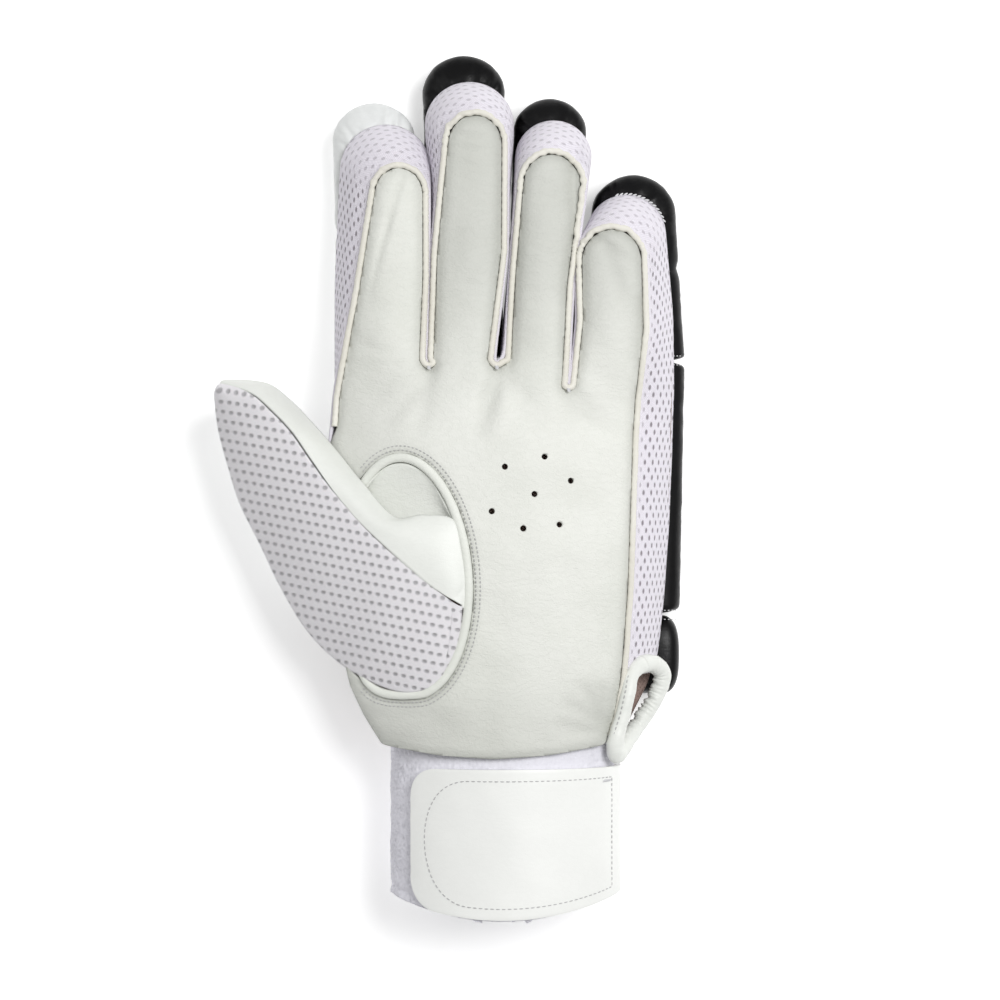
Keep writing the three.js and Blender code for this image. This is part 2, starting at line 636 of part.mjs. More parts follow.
// A stuffed roll under the back panel: flat where it is sewn on, round below, with rounded ends.
function roll(name, from, to, widths, depth, finish, shape = {}) {
  const [widthFrom, widthTo] = widths;
  const { creases = [], tops = [ROLL_DEPTH, ROLL_DEPTH], start = TIP_END, end = TIP_END } = shape;
  const length = Math.hypot(to[0] - from[0], to[1] - from[1]);
  const way = [(to[0] - from[0]) / length, (to[1] - from[1]) / length];
  const rounded = (form) => [8, 28, 52, 90].map((turn) => {
    const rise = Math.sin(degrees(turn));
    const round = Math.min(widthFrom, length) * form.share;
    return [(1 - Math.cos(degrees(turn))) * round, mix(form.wide, 1, rise), mix(form.deep, 1, rise)];
  });
  const stations = [
    ...rounded(start),
    ...creases.flatMap((share) => [
      [share * length - CREASE_HALF, 1, 1], [share * length, 0.94, 0.86],
      [share * length + CREASE_HALF, 1, 1]]),
    ...rounded(end).map(([s, wide, deep]) => [length - s, wide, deep]).reverse(),
  ];
  const section = [[0.84, 0], [1, -0.22], [0.97, -0.6], [0.74, -0.9], [0.36, -1]];
  const rings = stations.map(([s, wide, deep]) => {
    const centre = [from[0] + way[0] * s, from[1] + way[1] * s];
    const half = mix(widthFrom, widthTo, s / length) / 2 * wide;
    const place = ([side, level]) => [
      centre[0] + way[1] * side * half, centre[1] - way[0] * side * half,
      mix(tops[0], tops[1], s / length) + level * depth * deep];
    return [...section, ...section.map(([side, level]) => [-side, level]).reverse()].map(place);
  });
  add(name, loft(rings), finish);
}

const ROLLS = [
  {
    finger: "index", tipAt: -0.283, tipWidth: 0.28, kneeAt: -0.245, kneeWidth: 0.31, wristAt: -0.225,
    wristWidth: 0.235, top: 1.083, finish: "white",
  },
  {
    finger: "middle", tipAt: 0.03, tipWidth: 0.29, kneeAt: 0.045, kneeWidth: 0.24, wristAt: 0.035,
    wristWidth: 0.26, top: 1.255, finish: "black",
  },
  {
    finger: "ring", tipAt: 0.335, tipWidth: 0.2525, kneeAt: 0.294, kneeWidth: 0.235, wristAt: 0.31,
    wristWidth: 0.26, top: 1.098, finish: "black",
  },
  {
    finger: "little", tipAt: 0.62, tipWidth: 0.27, kneeAt: 0.61, kneeWidth: 0.37, wristAt: 0.6175,
    wristWidth: 0.32, top: 0.82, finish: "black",
  },
];
// The finger rolls meet the hand rolls at the knee line, with a gap to each side of it.
const KNEE_LINE = FINGER_BASE + 13;
const KNEE_GAP = 0.5;
const HAND_ROLL_END = KNEE_LINE - 4 - HAND_LENGTH * 0.7;
const WRIST_ROLL_LINE = HAND_ROLL_END - 15.5;

function backRolls() {
  for (const row of ROLLS) {
    const tip = [X(row.tipAt), FINGER_BASE + row.top * FINGER_REACH];
    const knee = [X(row.kneeAt), KNEE_LINE + KNEE_GAP];
    const widths = [X(row.tipWidth), X(row.kneeWidth)];
    roll(`${row.finger}_roll`, tip, knee, widths, ROLL_DEPTH, row.finish, { creases: [0.5], end: JOINT_END });
    const end = [X(row.wristAt), HAND_ROLL_END + KNEE_GAP];
    roll(`${row.finger}_hand_roll`, [X(row.kneeAt), KNEE_LINE - KNEE_GAP], end,
      [X(row.kneeWidth), X(row.wristWidth)], ROLL_DEPTH, row.finish, { start: JOINT_END, end: JOINT_END });
  }
  roll("wrist_roll", [X(-0.33), WRIST_ROLL_LINE], [X(0.775), WRIST_ROLL_LINE],
    [WRIST_ROLL_WIDTH, WRIST_ROLL_WIDTH], ROLL_DEPTH, "black",
    { creases: [0.5], start: CORNER_END, end: CORNER_END });
}

// The thumb: knitted panel, leather band, soft patch, back and welt.
function thumb() {
  const clear = -(THUMB_WELT_RADIUS + GAP + 0.5);
  const part = 0.018;
  const seat = -0.4;
  const left = THUMB_ROWS.map((row) => thumbPoint(row.leftAlong, row.left, row.leftLevel));
  const seamLow = THUMB_ROWS.map((row) => thumbPoint(row.seamAlong, row.seam - part, row.seamLevel));
  const seamHigh = THUMB_ROWS.map((row) => thumbPoint(row.seamAlong, row.seam + part, row.seamLevel));
  const side = THUMB_ROWS.map((row) => thumbPoint(row.sideAlong, row.side, row.sideLevel));
  for (const row of THUMB_END_ROWS) {
    left.push(atPalm(holePoint(degrees(row.leftTurn), clear), seat));
    seamLow.push(thumbPoint(row.seamAlong, row.seam - part, row.seamLevel));
    seamHigh.push(thumbPoint(row.seamAlong, row.seam + part, row.seamLevel));
    side.push(atPalm(holePoint(degrees(row.sideTurn), clear), seat));
  }
  const swell = (size) => (t) => [0, 0, size * Math.sin(Math.PI * Math.min(1, t * 1.1 + 0.05)) ** 0.7];
  add("thumb_mesh", ruled(left, seamLow, 7, swell(4), KNIT), "knit");
  add("thumb_band", ruled(seamHigh, side, 4, swell(1.5), LEATHER), "white");

  const under = 6;
  const lower = (points, drop) => points.slice(0, under).map((p) => [p[0], p[1], p[2] - drop]);
  const backLeft = lower(left, KNIT + GAP);
  const backSide = lower(side, LEATHER + GAP);
  const sag = (t) => [0, 0, -8 * Math.sin(Math.PI * Math.min(1, 0.2 + t * 0.5))];
  add("thumb_back", ruled(backLeft, backSide, 6, sag, LEATHER, 0.6), "white");

  const outer = PATCH_ROWS.map((row) => atPalm(holePoint(degrees(row.turn), clear - GAP), seat));
  const inner = PATCH_ROWS.map((row) => thumbPoint(row.along, row.out, row.level));
  add("thumb_patch", ruled(outer, inner, 3, [0, 0, 1], LEATHER), "leather");

  const turns = Array.from({ length: 29 }, (_, i) => degrees(mix(WELT_FROM, WELT_TO, i / 28)));
  const path = turns.map((turn) => atPalm(holePoint(turn, 0), 0));
  add("thumb_welt", cord(path, THUMB_WELT_RADIUS, 6), "piping");

  const spot = (along, out) => thumbPoint(along, out, 0).slice(0, 2);
  const seatAt = (level) => THUMB_MIDDLE + level * THUMB_DEPTH;
  roll("thumb_tip_roll", spot(0.02, -0.01), spot(0.345, -0.22),
    [THUMB_WIDTH * 0.333, THUMB_WIDTH * 0.489], THUMB_ROLL_DEPTH, "white",
    { tops: [seatAt(-0.385), seatAt(-0.51)] });
  roll("thumb_base_roll", spot(0.365, -0.33), spot(0.62, -0.625),
    [THUMB_WIDTH * 0.4, THUMB_WIDTH * 0.4], THUMB_ROLL_DEPTH, "white",
    { tops: [seatAt(-0.515), seatAt(-0.47)] });
}

// Wristband and closing strap, both wrapped round the oval wrist.
const BAND_TOP = WRIST_LINE + 2;
const STRAP_TOP = WRIST_LINE - 7.5;
const STRAP_FROM = 140;
const STRAP_TO = -100;
const hang = (angle) => FRONT_HANG * Math.max(0, Math.sin(angle)) ** 2;

function wristPoint(angle, out) {
  return [
    WRIST_X + Math.cos(angle) * (WRIST_WIDTH / 2 + out),
    WRIST_CENTRE + Math.sin(angle) * (WRIST_DEPTH / 2 + out),
  ];
}

function wristband() {
  const around = 32;
  const grid = Array.from({ length: around }, (_, i) => {
    const angle = (i / around) * Math.PI * 2;
    const [x, z] = wristPoint(angle, -TOWELLING / 2);
    return [0, 0.33, 0.66, 1].map((t) => [x, BAND_TOP - t * BAND_LENGTH - hang(angle) * t, z]);
  });
  add("wristband", sheet(grid, TOWELLING, true), "towelling");
}

function strap() {
  const from = degrees(STRAP_FROM);
  const to = degrees(STRAP_TO);
  const steps = 30;
  const grid = Array.from({ length: steps + 1 }, (_, i) => {
    const angle = mix(from, to, (i / steps) ** 1.15);
    const [x, z] = wristPoint(angle, GAP + STRAP_THICKNESS / 2);
    const past = Math.min(1, ((from - angle) * WRIST_WIDTH) / 2 / STRAP_CORNER);
    const cut = STRAP_CORNER * (1 - Math.sqrt(1 - (1 - past) ** 2)) * 0.9;
    const [high, low] = [STRAP_TOP - cut, STRAP_TOP - STRAP_LENGTH - hang(angle) + cut];
    return [0, 0.25, 0.5, 0.75, 1].map((t) => [x, mix(high, low, t), z]);
  });
  add("strap", sheet(grid, STRAP_THICKNESS), "white");
}

// The rolled leather edge of the side slit, a closed loop from the palm's hem round to the back.
const SLIT = [
  { across: 0.638, down: 0.772, level: 0.4 },
  { across: 0.683, down: 0.774, level: 0.26 },
  { across: 0.71, down: 0.81, level: 0.18 },
  { across: 0.683, down: 0.875, level: 0.17 },
  { across: 0.632, down: 0.939, level: 0.22 },
  { across: 0.588, down: 0.99, level: 0.36 },
  { across: 0.552, down: 1.03, level: 0.52 },
  { across: 0.548, down: 0.985, level: 0.6 },
  { across: 0.574, down: 0.91, level: 0.6 },
  { across: 0.59, down: 0.85, level: 0.59 },
  { across: 0.603, down: 0.8, level: 0.53 },
];

function slitBinding() {
  const points = SLIT.map((row) => new THREE.Vector3(
    X(row.across), FINGER_BASE - row.down * HAND_LENGTH, PANEL_TOP + row.level * PALM_DEPTH));
  const path = new THREE.CatmullRomCurve3(points, true).getPoints(32).slice(0, 32).map((p) => p.toArray());
  add("slit_binding", cord(path, BINDING_RADIUS, 8, true), "white");
}

palm();
palmWelt();
["index", "middle", "ring", "little"].forEach((finger, number) => fingerWall(`${finger}_mesh`, number));
sideGusset();
backPanel();
backRolls();
thumb();
wristband();
strap();
slitBinding();

// The origin is the middle of the glove's foot on the surface that it lies on.
const box = new THREE.Box3().setFromObject(parts);
const middle = box.getCenter(new THREE.Vector3());
parts.position.set(-middle.x, -middle.y, -box.min.z);

export default parts;
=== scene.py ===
"""Looks of a left-hand cricket batting glove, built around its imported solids."""

import logging
import math
from collections.abc import Callable, Sequence
from dataclasses import dataclass, field
from enum import Enum

import bmesh
import bpy
from mathutils import Matrix, Vector, kdtree, noise


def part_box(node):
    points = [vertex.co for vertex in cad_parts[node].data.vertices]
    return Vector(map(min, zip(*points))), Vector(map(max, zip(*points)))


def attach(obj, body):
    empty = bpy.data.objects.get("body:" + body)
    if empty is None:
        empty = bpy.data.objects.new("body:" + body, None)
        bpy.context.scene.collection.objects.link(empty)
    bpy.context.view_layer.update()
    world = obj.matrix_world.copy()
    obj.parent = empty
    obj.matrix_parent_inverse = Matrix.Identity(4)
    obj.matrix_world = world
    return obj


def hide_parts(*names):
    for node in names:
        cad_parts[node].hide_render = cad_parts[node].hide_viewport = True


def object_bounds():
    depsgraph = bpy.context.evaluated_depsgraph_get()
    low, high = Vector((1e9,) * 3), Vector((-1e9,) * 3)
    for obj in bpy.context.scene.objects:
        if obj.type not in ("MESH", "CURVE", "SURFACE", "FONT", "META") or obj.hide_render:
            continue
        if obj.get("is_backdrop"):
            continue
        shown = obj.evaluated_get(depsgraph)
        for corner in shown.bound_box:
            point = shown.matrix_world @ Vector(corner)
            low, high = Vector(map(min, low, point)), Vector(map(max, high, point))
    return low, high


LOG = logging.getLogger("glove")
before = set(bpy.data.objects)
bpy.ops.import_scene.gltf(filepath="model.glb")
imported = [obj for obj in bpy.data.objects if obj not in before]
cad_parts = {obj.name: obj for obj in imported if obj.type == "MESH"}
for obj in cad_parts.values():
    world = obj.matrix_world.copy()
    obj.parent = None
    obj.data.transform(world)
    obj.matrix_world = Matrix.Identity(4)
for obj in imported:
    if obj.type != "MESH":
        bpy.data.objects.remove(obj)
CAD_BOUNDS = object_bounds()
BODY = "root"
MM = 0.001

# Sizes of the solids, in millimetres before the glove is centred
HAND_WIDTH = 97.4
HAND_LENGTH = 114.0
FINGER_REACH = 92.0
ROLL_DEPTH = 20.0
PALM_DEPTH = 33.0
LEATHER = 1.2
KNIT = 1.4
GAP = 0.35
PANEL_TOP = ROLL_DEPTH + GAP + 2.0
FINGER_BASE = HAND_LENGTH * 0.26
WRIST_LINE = FINGER_BASE - HAND_LENGTH
FINGER_CROWN = 3.0
PALM_ARCH = 12.0
CROTCH_RADIUS = 2.8
THUMB_LENGTH = 108.4
THUMB_WIDTH = 45.0
THUMB_DEPTH = 26.0
THUMB_LEAN = math.radians(41.7)
THUMB_MIDDLE = PANEL_TOP + 14.0
WRIST_X = 0.166 * HAND_WIDTH
WRIST_WIDTH = 74.0
WRIST_DEPTH = 47.0
WRIST_CENTRE = PANEL_TOP + 5.2
BAND_LENGTH = 51.5
FRONT_HANG = 7.5
STRAP_LENGTH = 41.5
STRAP_CORNER = 10.0
KNEE_LINE = FINGER_BASE + 13.0
KNEE_SEAT = 0.2
HAND_ROLL_LAP = 1.2
WRIST_ROLL_RISE = 0.7
HAND_ROLL_END = KNEE_LINE - 4.0 - HAND_LENGTH * 0.7
WRIST_ROLL_LINE = HAND_ROLL_END - 15.5


class Slot(Enum):
    """The record's material slots."""

    PALM = "palm_leather"
    PIPING = "piping"
    KNIT = "knit"
    LINING = "lining"
    WHITE = "white_leather"
    BLACK = "black_leather"
    TOWELLING = "towelling"
    STRAP = "strap_leather"


@dataclass(frozen=True)
class Stall:
    """One face of a finger stall; places and halves are shares of the hand's width."""

    base_at: float
    base_half: float
    mid_at: float
    mid_half: float
    tip_at: float
    tip_half: float
    reach: float


PALM_STALLS = (
    Stall(-0.25, 0.135, -0.212, 0.108, -0.185, 0.08, 0.82),
    Stall(0.024, 0.09, 0.054, 0.107, 0.073, 0.09, 1.01),
    Stall(0.28, 0.085, 0.298, 0.086, 0.334, 0.096, 0.87),
    Stall(0.515, 0.1, 0.5405, 0.1015, 0.535, 0.1, 0.6),
)
BACK_STALLS = (
    Stall(-0.2455, 0.1575, -0.243, 0.16, -0.234, 0.151, 0.99),
    Stall(0.0335, 0.1015, 0.0565, 0.1185, 0.0525, 0.1475, 1.145),
    Stall(0.267, 0.107, 0.295, 0.1, 0.341, 0.126, 1.005),
    Stall(0.575, 0.173, 0.59, 0.155, 0.59, 0.13, 0.735),
)
FINGERS = ("index", "middle", "ring", "little")
# Forks between the fingers: across as a share of the hand's width, low as a share of the reach
CROTCHES = ((-0.082, 0.1), (0.147, 0.1), (0.388, 0.02))
# Side edges of the hand: down, across the palm, across the foot
LEFT_EDGE = (
    (0.0, -0.385, -0.395), (0.24, -0.405, -0.395), (0.52, -0.395, -0.39), (0.776, -0.368, -0.37),
    (0.87, -0.335, -0.335), (0.935, -0.29, -0.29), (1.0, -0.24, -0.215),
)
RIGHT_EDGE = (
    (0.0, 0.615, 0.745), (0.125, 0.605, 0.742), (0.33, 0.596, 0.733), (0.53, 0.588, 0.718),
    (0.7, 0.575, 0.7), (0.8, 0.565, 0.68), (0.9, 0.545, 0.62), (1.0, 0.513, 0.565),
)
# Height of the leather along the hand, as a share of the palm's depth
CROWNS = (
    (-0.53, 0.97), (-0.2, 1.0), (0.05, 0.93), (0.26, 0.79), (0.6, 0.63), (0.9, 0.54), (1.15, 0.48),
)
# The oval thumb hole
HOLE_X = -0.154 * HAND_WIDTH
HOLE_Y = -0.2535 * HAND_LENGTH
HOLE_LONG = 0.339 * HAND_LENGTH
HOLE_WIDE = 0.205 * HAND_WIDTH
HOLE_TILT = 0.077
THUMB_TIP = (HOLE_X - 61.4, HOLE_Y + 61.7)
# Thumb sections: left along, left, level; seam along, seam, level; side along, side, level
THUMB_ROWS = (
    (-0.004, -0.014, 0.0, -0.003, 0.006, 0.04, -0.003, 0.014, 0.02),
    (0.012, -0.07, -0.02, 0.012, 0.035, 0.1, 0.005, 0.06, 0.03),
    (0.087, -0.235, -0.1, 0.091, 0.107, 0.3, 0.094, 0.222, 0.0),
    (0.184, -0.389, -0.12, 0.162, 0.113, 0.4, 0.174, 0.247, 0.0),
    (0.28, -0.527, -0.13, 0.255, 0.096, 0.47, 0.267, 0.232, 0.03),
    (0.41, -0.653, -0.13, 0.356, 0.04, 0.54, 0.387, 0.2, 0.19),
    (0.535, -0.778, -0.1, 0.461, -0.011, 0.6, 0.507, 0.158, 0.41),
    (0.68, -0.885, -0.02, 0.581, -0.049, 0.66, 0.66, 0.126, 0.55),
    (0.81, -0.905, 0.1, 0.693, -0.062, 0.72, 0.724, 0.288, 0.62),
)
# Thumb sheets at the hole: left turn, side turn, seam along, seam, level
THUMB_END_ROWS = (
    (221, 63, 0.775, -0.064, 0.74), (190, 78, 0.858, -0.058, 0.75), (162, 90, 0.925, -0.038, 0.75),
    (138, 100, 0.968, -0.02, 0.73), (117, 109, 0.983, -0.012, 0.7),
)
# Soft leather under the hem: turn, along, out, level
PATCH_ROWS = (
    (-40, 0.5, 0.1, 0.33), (-18, 0.576, 0.075, 0.4), (0, 0.655, 0.06, 0.44), (18, 0.72, 0.11, 0.47),
    (36, 0.775, 0.23, 0.52), (62, 0.83, 0.345, 0.58),
)
# Rolls on the back: tip at, tip width, knee at, knee width, wrist at, wrist width, top
ROLL_ROWS = (
    (-0.283, 0.28, -0.245, 0.31, -0.225, 0.235, 1.083),
    (0.03, 0.29, 0.045, 0.24, 0.035, 0.26, 1.255),
    (0.335, 0.2525, 0.294, 0.235, 0.31, 0.26, 1.098),
    (0.62, 0.27, 0.61, 0.37, 0.6175, 0.32, 0.82),
)
# Side slit binding: across, down, level
SLIT_ROWS = (
    (0.638, 0.772, 0.4), (0.683, 0.774, 0.26), (0.71, 0.81, 0.18), (0.683, 0.875, 0.17),
    (0.632, 0.939, 0.22), (0.588, 0.99, 0.36), (0.552, 1.03, 0.52), (0.548, 0.985, 0.6),
    (0.574, 0.91, 0.6), (0.59, 0.85, 0.59), (0.603, 0.8, 0.53),
)
# Vent holes: across, along
VENTS = (
    (0.174, 0.059), (0.307, 0.088), (0.395, 0.019), (0.273, -0.019), (0.13, -0.068), (0.235, -0.117),
    (0.357, -0.106),
)


def mix(a: float, b: float, t: float) -> float:
    """Blends from a to b."""
    return a + (b - a) * t


def clamp(value: float, low: float, high: float) -> float:
    """Keeps a value between two limits."""
    return max(low, min(high, value))


def ease(low: float, high: float, value: float) -> float:
    """Rises smoothly from 0 at low to 1 at high."""
    t = clamp((value - low) / (high - low), 0.0, 1.0)
    return t * t * (3.0 - 2.0 * t)


def across(share: float) -> float:
    """A share of the hand's width, in millimetres."""
    return share * HAND_WIDTH


def read_table(rows: Sequence[tuple], column: int, value: float) -> float:
    """Reads a table whose first column rises.

    Args:
        rows: The table.
        column: The column to read.
        value: The place in the first column.

    Returns:
        The value between the two nearest rows.
    """
    if value <= rows[0][0]:
        return rows[0][column]
    for low, high in zip(rows, rows[1:]):
        if value <= high[0]:
            t = (value - low[0]) / (high[0] - low[0])
            return mix(low[column], high[column], t * t * (3 - 2 * t) * 0.5 + t * 0.5)
    return rows[-1][column]


def read_smooth(values: Sequence[Vector], t: float) -> Vector:
    """A point of the smooth curve through evenly numbered points, for t from 0 to 1."""
    last = len(values) - 1
    place = clamp(t, 0.0, 1.0) * last
    i = min(int(place), last - 1)
    f = place - i
    p1, p2 = values[i], values[i + 1]
    p0 = values[i - 1] if i > 0 else p1 * 2 - p2
    p3 = values[i + 2] if i + 2 <= last else p2 * 2 - p1
    a = p1 * 2
    b = p2 - p0
    c = p0 * 2 - p1 * 5 + p2 * 4 - p3
    d = p1 * 3 - p0 - p2 * 3 + p3
    return (a + b * f + c * f * f + d * f * f * f) * 0.5


def centre_shift() -> tuple[float, float]:
    """How far the centred solids lie from their drawn places, in millimetres, read from the wrist roll."""
    low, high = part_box("wrist_roll")
    drawn_x = across((0.775 - 0.33) / 2)
    return (low[0] + high[0]) / 2 / MM - drawn_x, (low[1] + high[1]) / 2 / MM - WRIST_ROLL_LINE


SHIFT_X, SHIFT_Y = centre_shift()


def placed(point: Sequence[float]) -> Vector:
    """Turns a drawn point in millimetres into the row frame in metres."""
    return Vector((point[0] + SHIFT_X, point[1] + SHIFT_Y, point[2])) * MM


class HandPlan:
    """Outlines and heights of the hand, in drawn millimetres."""

    side_steps = 20
    tip_steps = 32
    crotch_steps = 12

    def stall_side(self, stall: Stall, t: float, sign: int) -> float:
        """The x of a finger's side at a share t of the way to its shoulder."""
        if t < 0.5:
            at = mix(stall.base_at, stall.mid_at, t * 2)
            half = mix(stall.base_half, stall.mid_half, t * 2)
        else:
            at = mix(stall.mid_at, stall.tip_at, t * 2 - 1)
            half = mix(stall.mid_half, stall.tip_half, t * 2 - 1)
        return across(at + sign * half)

    def crotch_y(self, number: int) -> float:
        """The bottom of a fork."""
        return FINGER_BASE + CROTCHES[number][1] * FINGER_REACH

    def finger_edge(self, stalls: Sequence[Stall], number: int, out: float) -> list[Vector]:
        """The edge of one finger from its left root over the tip to its right root.

        Args:
            stalls: The palm or the back face.
            number: The finger, from the index.
            out: How far outside the face's edge.

        Returns:
            Plan points.
        """
        stall = stalls[number]
        left_root = FINGER_BASE if number == 0 else self.crotch_y(number - 1) + CROTCH_RADIUS
        right_root = FINGER_BASE if number == 3 else self.crotch_y(number) + CROTCH_RADIUS
        tip_y = FINGER_BASE + stall.reach * FINGER_REACH
        shoulder = tip_y - across(stall.tip_half)
        points = []
        for i in range(self.side_steps):
            t = i / self.side_steps
            points.append(Vector((self.stall_side(stall, t, -1) - out, mix(left_root, shoulder, t))))
        reach = across(stall.tip_half) + out
        for i in range(self.tip_steps + 1):
            angle = math.pi * (1 - i / self.tip_steps)
            points.append(Vector((
                across(stall.tip_at) + math.cos(angle) * reach, shoulder + math.sin(angle) * reach)))
        for i in range(self.side_steps - 1, -1, -1):
            t = i / self.side_steps
            points.append(Vector((self.stall_side(stall, t, 1) + out, mix(right_root, shoulder, t))))
        return points

    def crotch_edge(self, number: int, out: float) -> list[Vector]:
        """The bottom of one fork, from the left finger's root to the right one's."""
        radius = CROTCH_RADIUS - out
        middle = self.crotch_y(number) + CROTCH_RADIUS
        points = []
        for i in range(1, self.crotch_steps):
            angle = math.pi * (1 + i / self.crotch_steps)
            points.append(Vector((
                across(CROTCHES[number][0]) + math.cos(angle) * radius, middle + math.sin(angle) * radius)))
        return points

    def side_edge(
        self, rows: Sequence[tuple], column: int, out: float, start: float, end: float, steps: int,
    ) -> list[Vector]:
        """A side edge of the hand between two shares of its length."""
        points = []
        for i in range(steps + 1):
            down = mix(start, end, i / steps)
            points.append(Vector((across(read_table(rows, column, down)) + out,
                                  FINGER_BASE - down * HAND_LENGTH)))
        return points

    def palm_height(self, x: float, y: float) -> float:
        """Upper face of the palm leather above the surface that the glove lies on."""
        down = (FINGER_BASE - y) / HAND_LENGTH
        rise = read_table(CROWNS, 1, y / HAND_LENGTH) * PALM_DEPTH
        left = across(read_table(LEFT_EDGE, 1, down))
        right = across(read_table(RIGHT_EDGE, 1, down))
        share = clamp((x - (left + right) / 2) / ((right - left) / 2), -1.1, 1.1)
        palm_drop = PALM_ARCH * abs(share) ** 2.4
        total = 0.0
        weight = 0.0
        for stall in PALM_STALLS:
            away = (x - across(stall.mid_at)) / across(stall.mid_half)
            near = 1.0 / (0.05 + away ** 6)
            total += near * clamp(away, -1.3, 1.3) ** 2
            weight += near
        finger_drop = FINGER_CROWN * total / weight + PALM_ARCH * 0.15 * share ** 2
        finger = ease(FINGER_BASE - 6, FINGER_BASE + 24, y)
        return PANEL_TOP + rise - mix(palm_drop, finger_drop, finger)

    def panel_height(self, x: float, y: float) -> float:
        """Upper face of the back panel."""
        share = clamp((x - WRIST_X) / (WRIST_WIDTH / 2 + 2.5), -0.97, 0.97)
        low = WRIST_CENTRE - (WRIST_DEPTH / 2 + GAP) * math.sqrt(1 - share * share)
        dip = 1 - ease(WRIST_LINE + 3, WRIST_LINE + 16, y)
        return mix(PANEL_TOP, min(PANEL_TOP, low), dip)

    def hole_point(self, turn: float, out: float) -> Vector:
        """A plan point of the thumb hole's rim, or outside it, at a turn in degrees from the top."""
        angle = math.radians(turn)
        power = mix(2.0, 3.6, ease(math.pi * 0.9, math.pi * 1.2, angle))
        size = (abs(math.cos(angle)) ** power + abs(math.sin(angle)) ** power) ** (-1 / power)
        along = -math.cos(angle) * (HOLE_LONG * size + out)
        side = math.sin(angle) * (HOLE_WIDE * size + out)
        return Vector((
            HOLE_X + side * math.cos(HOLE_TILT) + along * math.sin(HOLE_TILT),
            HOLE_Y - along * math.cos(HOLE_TILT) + side * math.sin(HOLE_TILT),
        ))

    def on_palm(self, point: Vector, lift: float) -> Vector:
        """A plan point raised to the palm leather's upper face and a little more."""
        return Vector((point.x, point.y, self.palm_height(point.x, point.y) + lift))

    def thumb_point(self, along: float, out: float, level: float) -> Vector:
        """A point of the thumb's own frame: along from the tip, out to the index finger, level up."""
        s = along * THUMB_LENGTH
        t = out * THUMB_WIDTH
        return Vector((
            THUMB_TIP[0] + s * math.cos(THUMB_LEAN) + t * math.sin(THUMB_LEAN),
            THUMB_TIP[1] - s * math.sin(THUMB_LEAN) + t * math.cos(THUMB_LEAN),
            THUMB_MIDDLE + level * THUMB_DEPTH,
        ))


HAND = HandPlan()


def srgb(red: int, green: int, blue: int) -> tuple[float, float, float, float]:
    """Turns a screen colour into the linear colour of a shader."""
    def linear(value: int) -> float:
        """One channel."""
        share = value / 255
        return share / 12.92 if share <= 0.04045 else ((share + 0.055) / 1.055) ** 2.4
    return linear(red), linear(green), linear(blue), 1.0


class NodeMaker:
    """Adds and joins shader nodes in one tree."""

    def __init__(self, tree: bpy.types.NodeTree) -> None:
        """Keeps the tree to work in."""
        self.tree = tree

    def add(self, kind: str, **settings: object) -> bpy.types.Node:
        """Adds a node and sets its properties."""
        node = self.tree.nodes.new(kind)
        for name, value in settings.items():
            setattr(node, name, value)
        return node

    def feed(self, socket: bpy.types.NodeSocket, source: object) -> None:
        """Joins a socket to another one, or sets its value."""
        if isinstance(source, bpy.types.NodeSocket):
            self.tree.links.new(source, socket)
        else:
            socket.default_value = source

    def math(self, operation: str, *values: object) -> bpy.types.NodeSocket:
        """Adds a Math node and returns its output."""
        node = self.add("ShaderNodeMath", operation=operation)
        for socket, value in zip(node.inputs, values):
            self.feed(socket, value)
        return node.outputs[0]

    def span(self, value: object, low: float, high: float, first: float = 0.0, last: float = 1.0
             ) -> bpy.types.NodeSocket:
        """Maps a span of values smoothly onto another."""
        node = self.add("ShaderNodeMapRange", interpolation_type="SMOOTHSTEP")
        for socket, part in zip(node.inputs, (value, low, high, first, last)):
            self.feed(socket, part)
        return node.outputs[0]

    def noise(self, place: object, scale: float, detail: float = 2.0, rough: float = 0.5
              ) -> bpy.types.NodeSocket:
        """Adds a noise texture and returns its value."""
        node = self.add("ShaderNodeTexNoise")
        self.feed(node.inputs["Vector"], place)
        self.feed(node.inputs["Scale"], scale)
        self.feed(node.inputs["Detail"], detail)
        self.feed(node.inputs["Roughness"], rough)
        return node.outputs[0]

    def mapped(self, place: object, scale: tuple[float, float, float], turn: float = 0.0
               ) -> bpy.types.NodeSocket:
        """Stretches and turns a pattern's coordinates."""
        node = self.add("ShaderNodeMapping")
        self.feed(node.inputs["Vector"], place)
        node.inputs["Scale"].default_value = scale
        node.inputs["Rotation"].default_value = (0.0, 0.0, turn)
        return node.outputs[0]

    def blend(self, factor: object, first: object, second: object) -> bpy.types.NodeSocket:
        """Mixes two colours."""
        node = self.add("ShaderNodeMix", data_type="RGBA")
        self.feed(node.inputs[0], factor)
        self.feed(node.inputs[6], first)
        self.feed(node.inputs[7], second)
        return node.outputs[2]


class GroupMaker(NodeMaker):
    """A shader node group with named sockets."""

    def __init__(self, name: str, inputs: Sequence[tuple[str, object]], outputs: Sequence[str]) -> None:
        """Makes the group and its sockets."""
        super().__init__(bpy.data.node_groups.new(name, "ShaderNodeTree"))
        for label, value in inputs:
            kind = "NodeSocketVector" if value is None else "NodeSocketFloat"
            socket = self.tree.interface.new_socket(label, in_out="INPUT", socket_type=kind)
            if value is not None:
                socket.default_value = value
        for label in outputs:
            self.tree.interface.new_socket(label, in_out="OUTPUT", socket_type="NodeSocketFloat")
        self.inputs = self.add("NodeGroupInput").outputs
        self.outputs = self.add("NodeGroupOutput").inputs


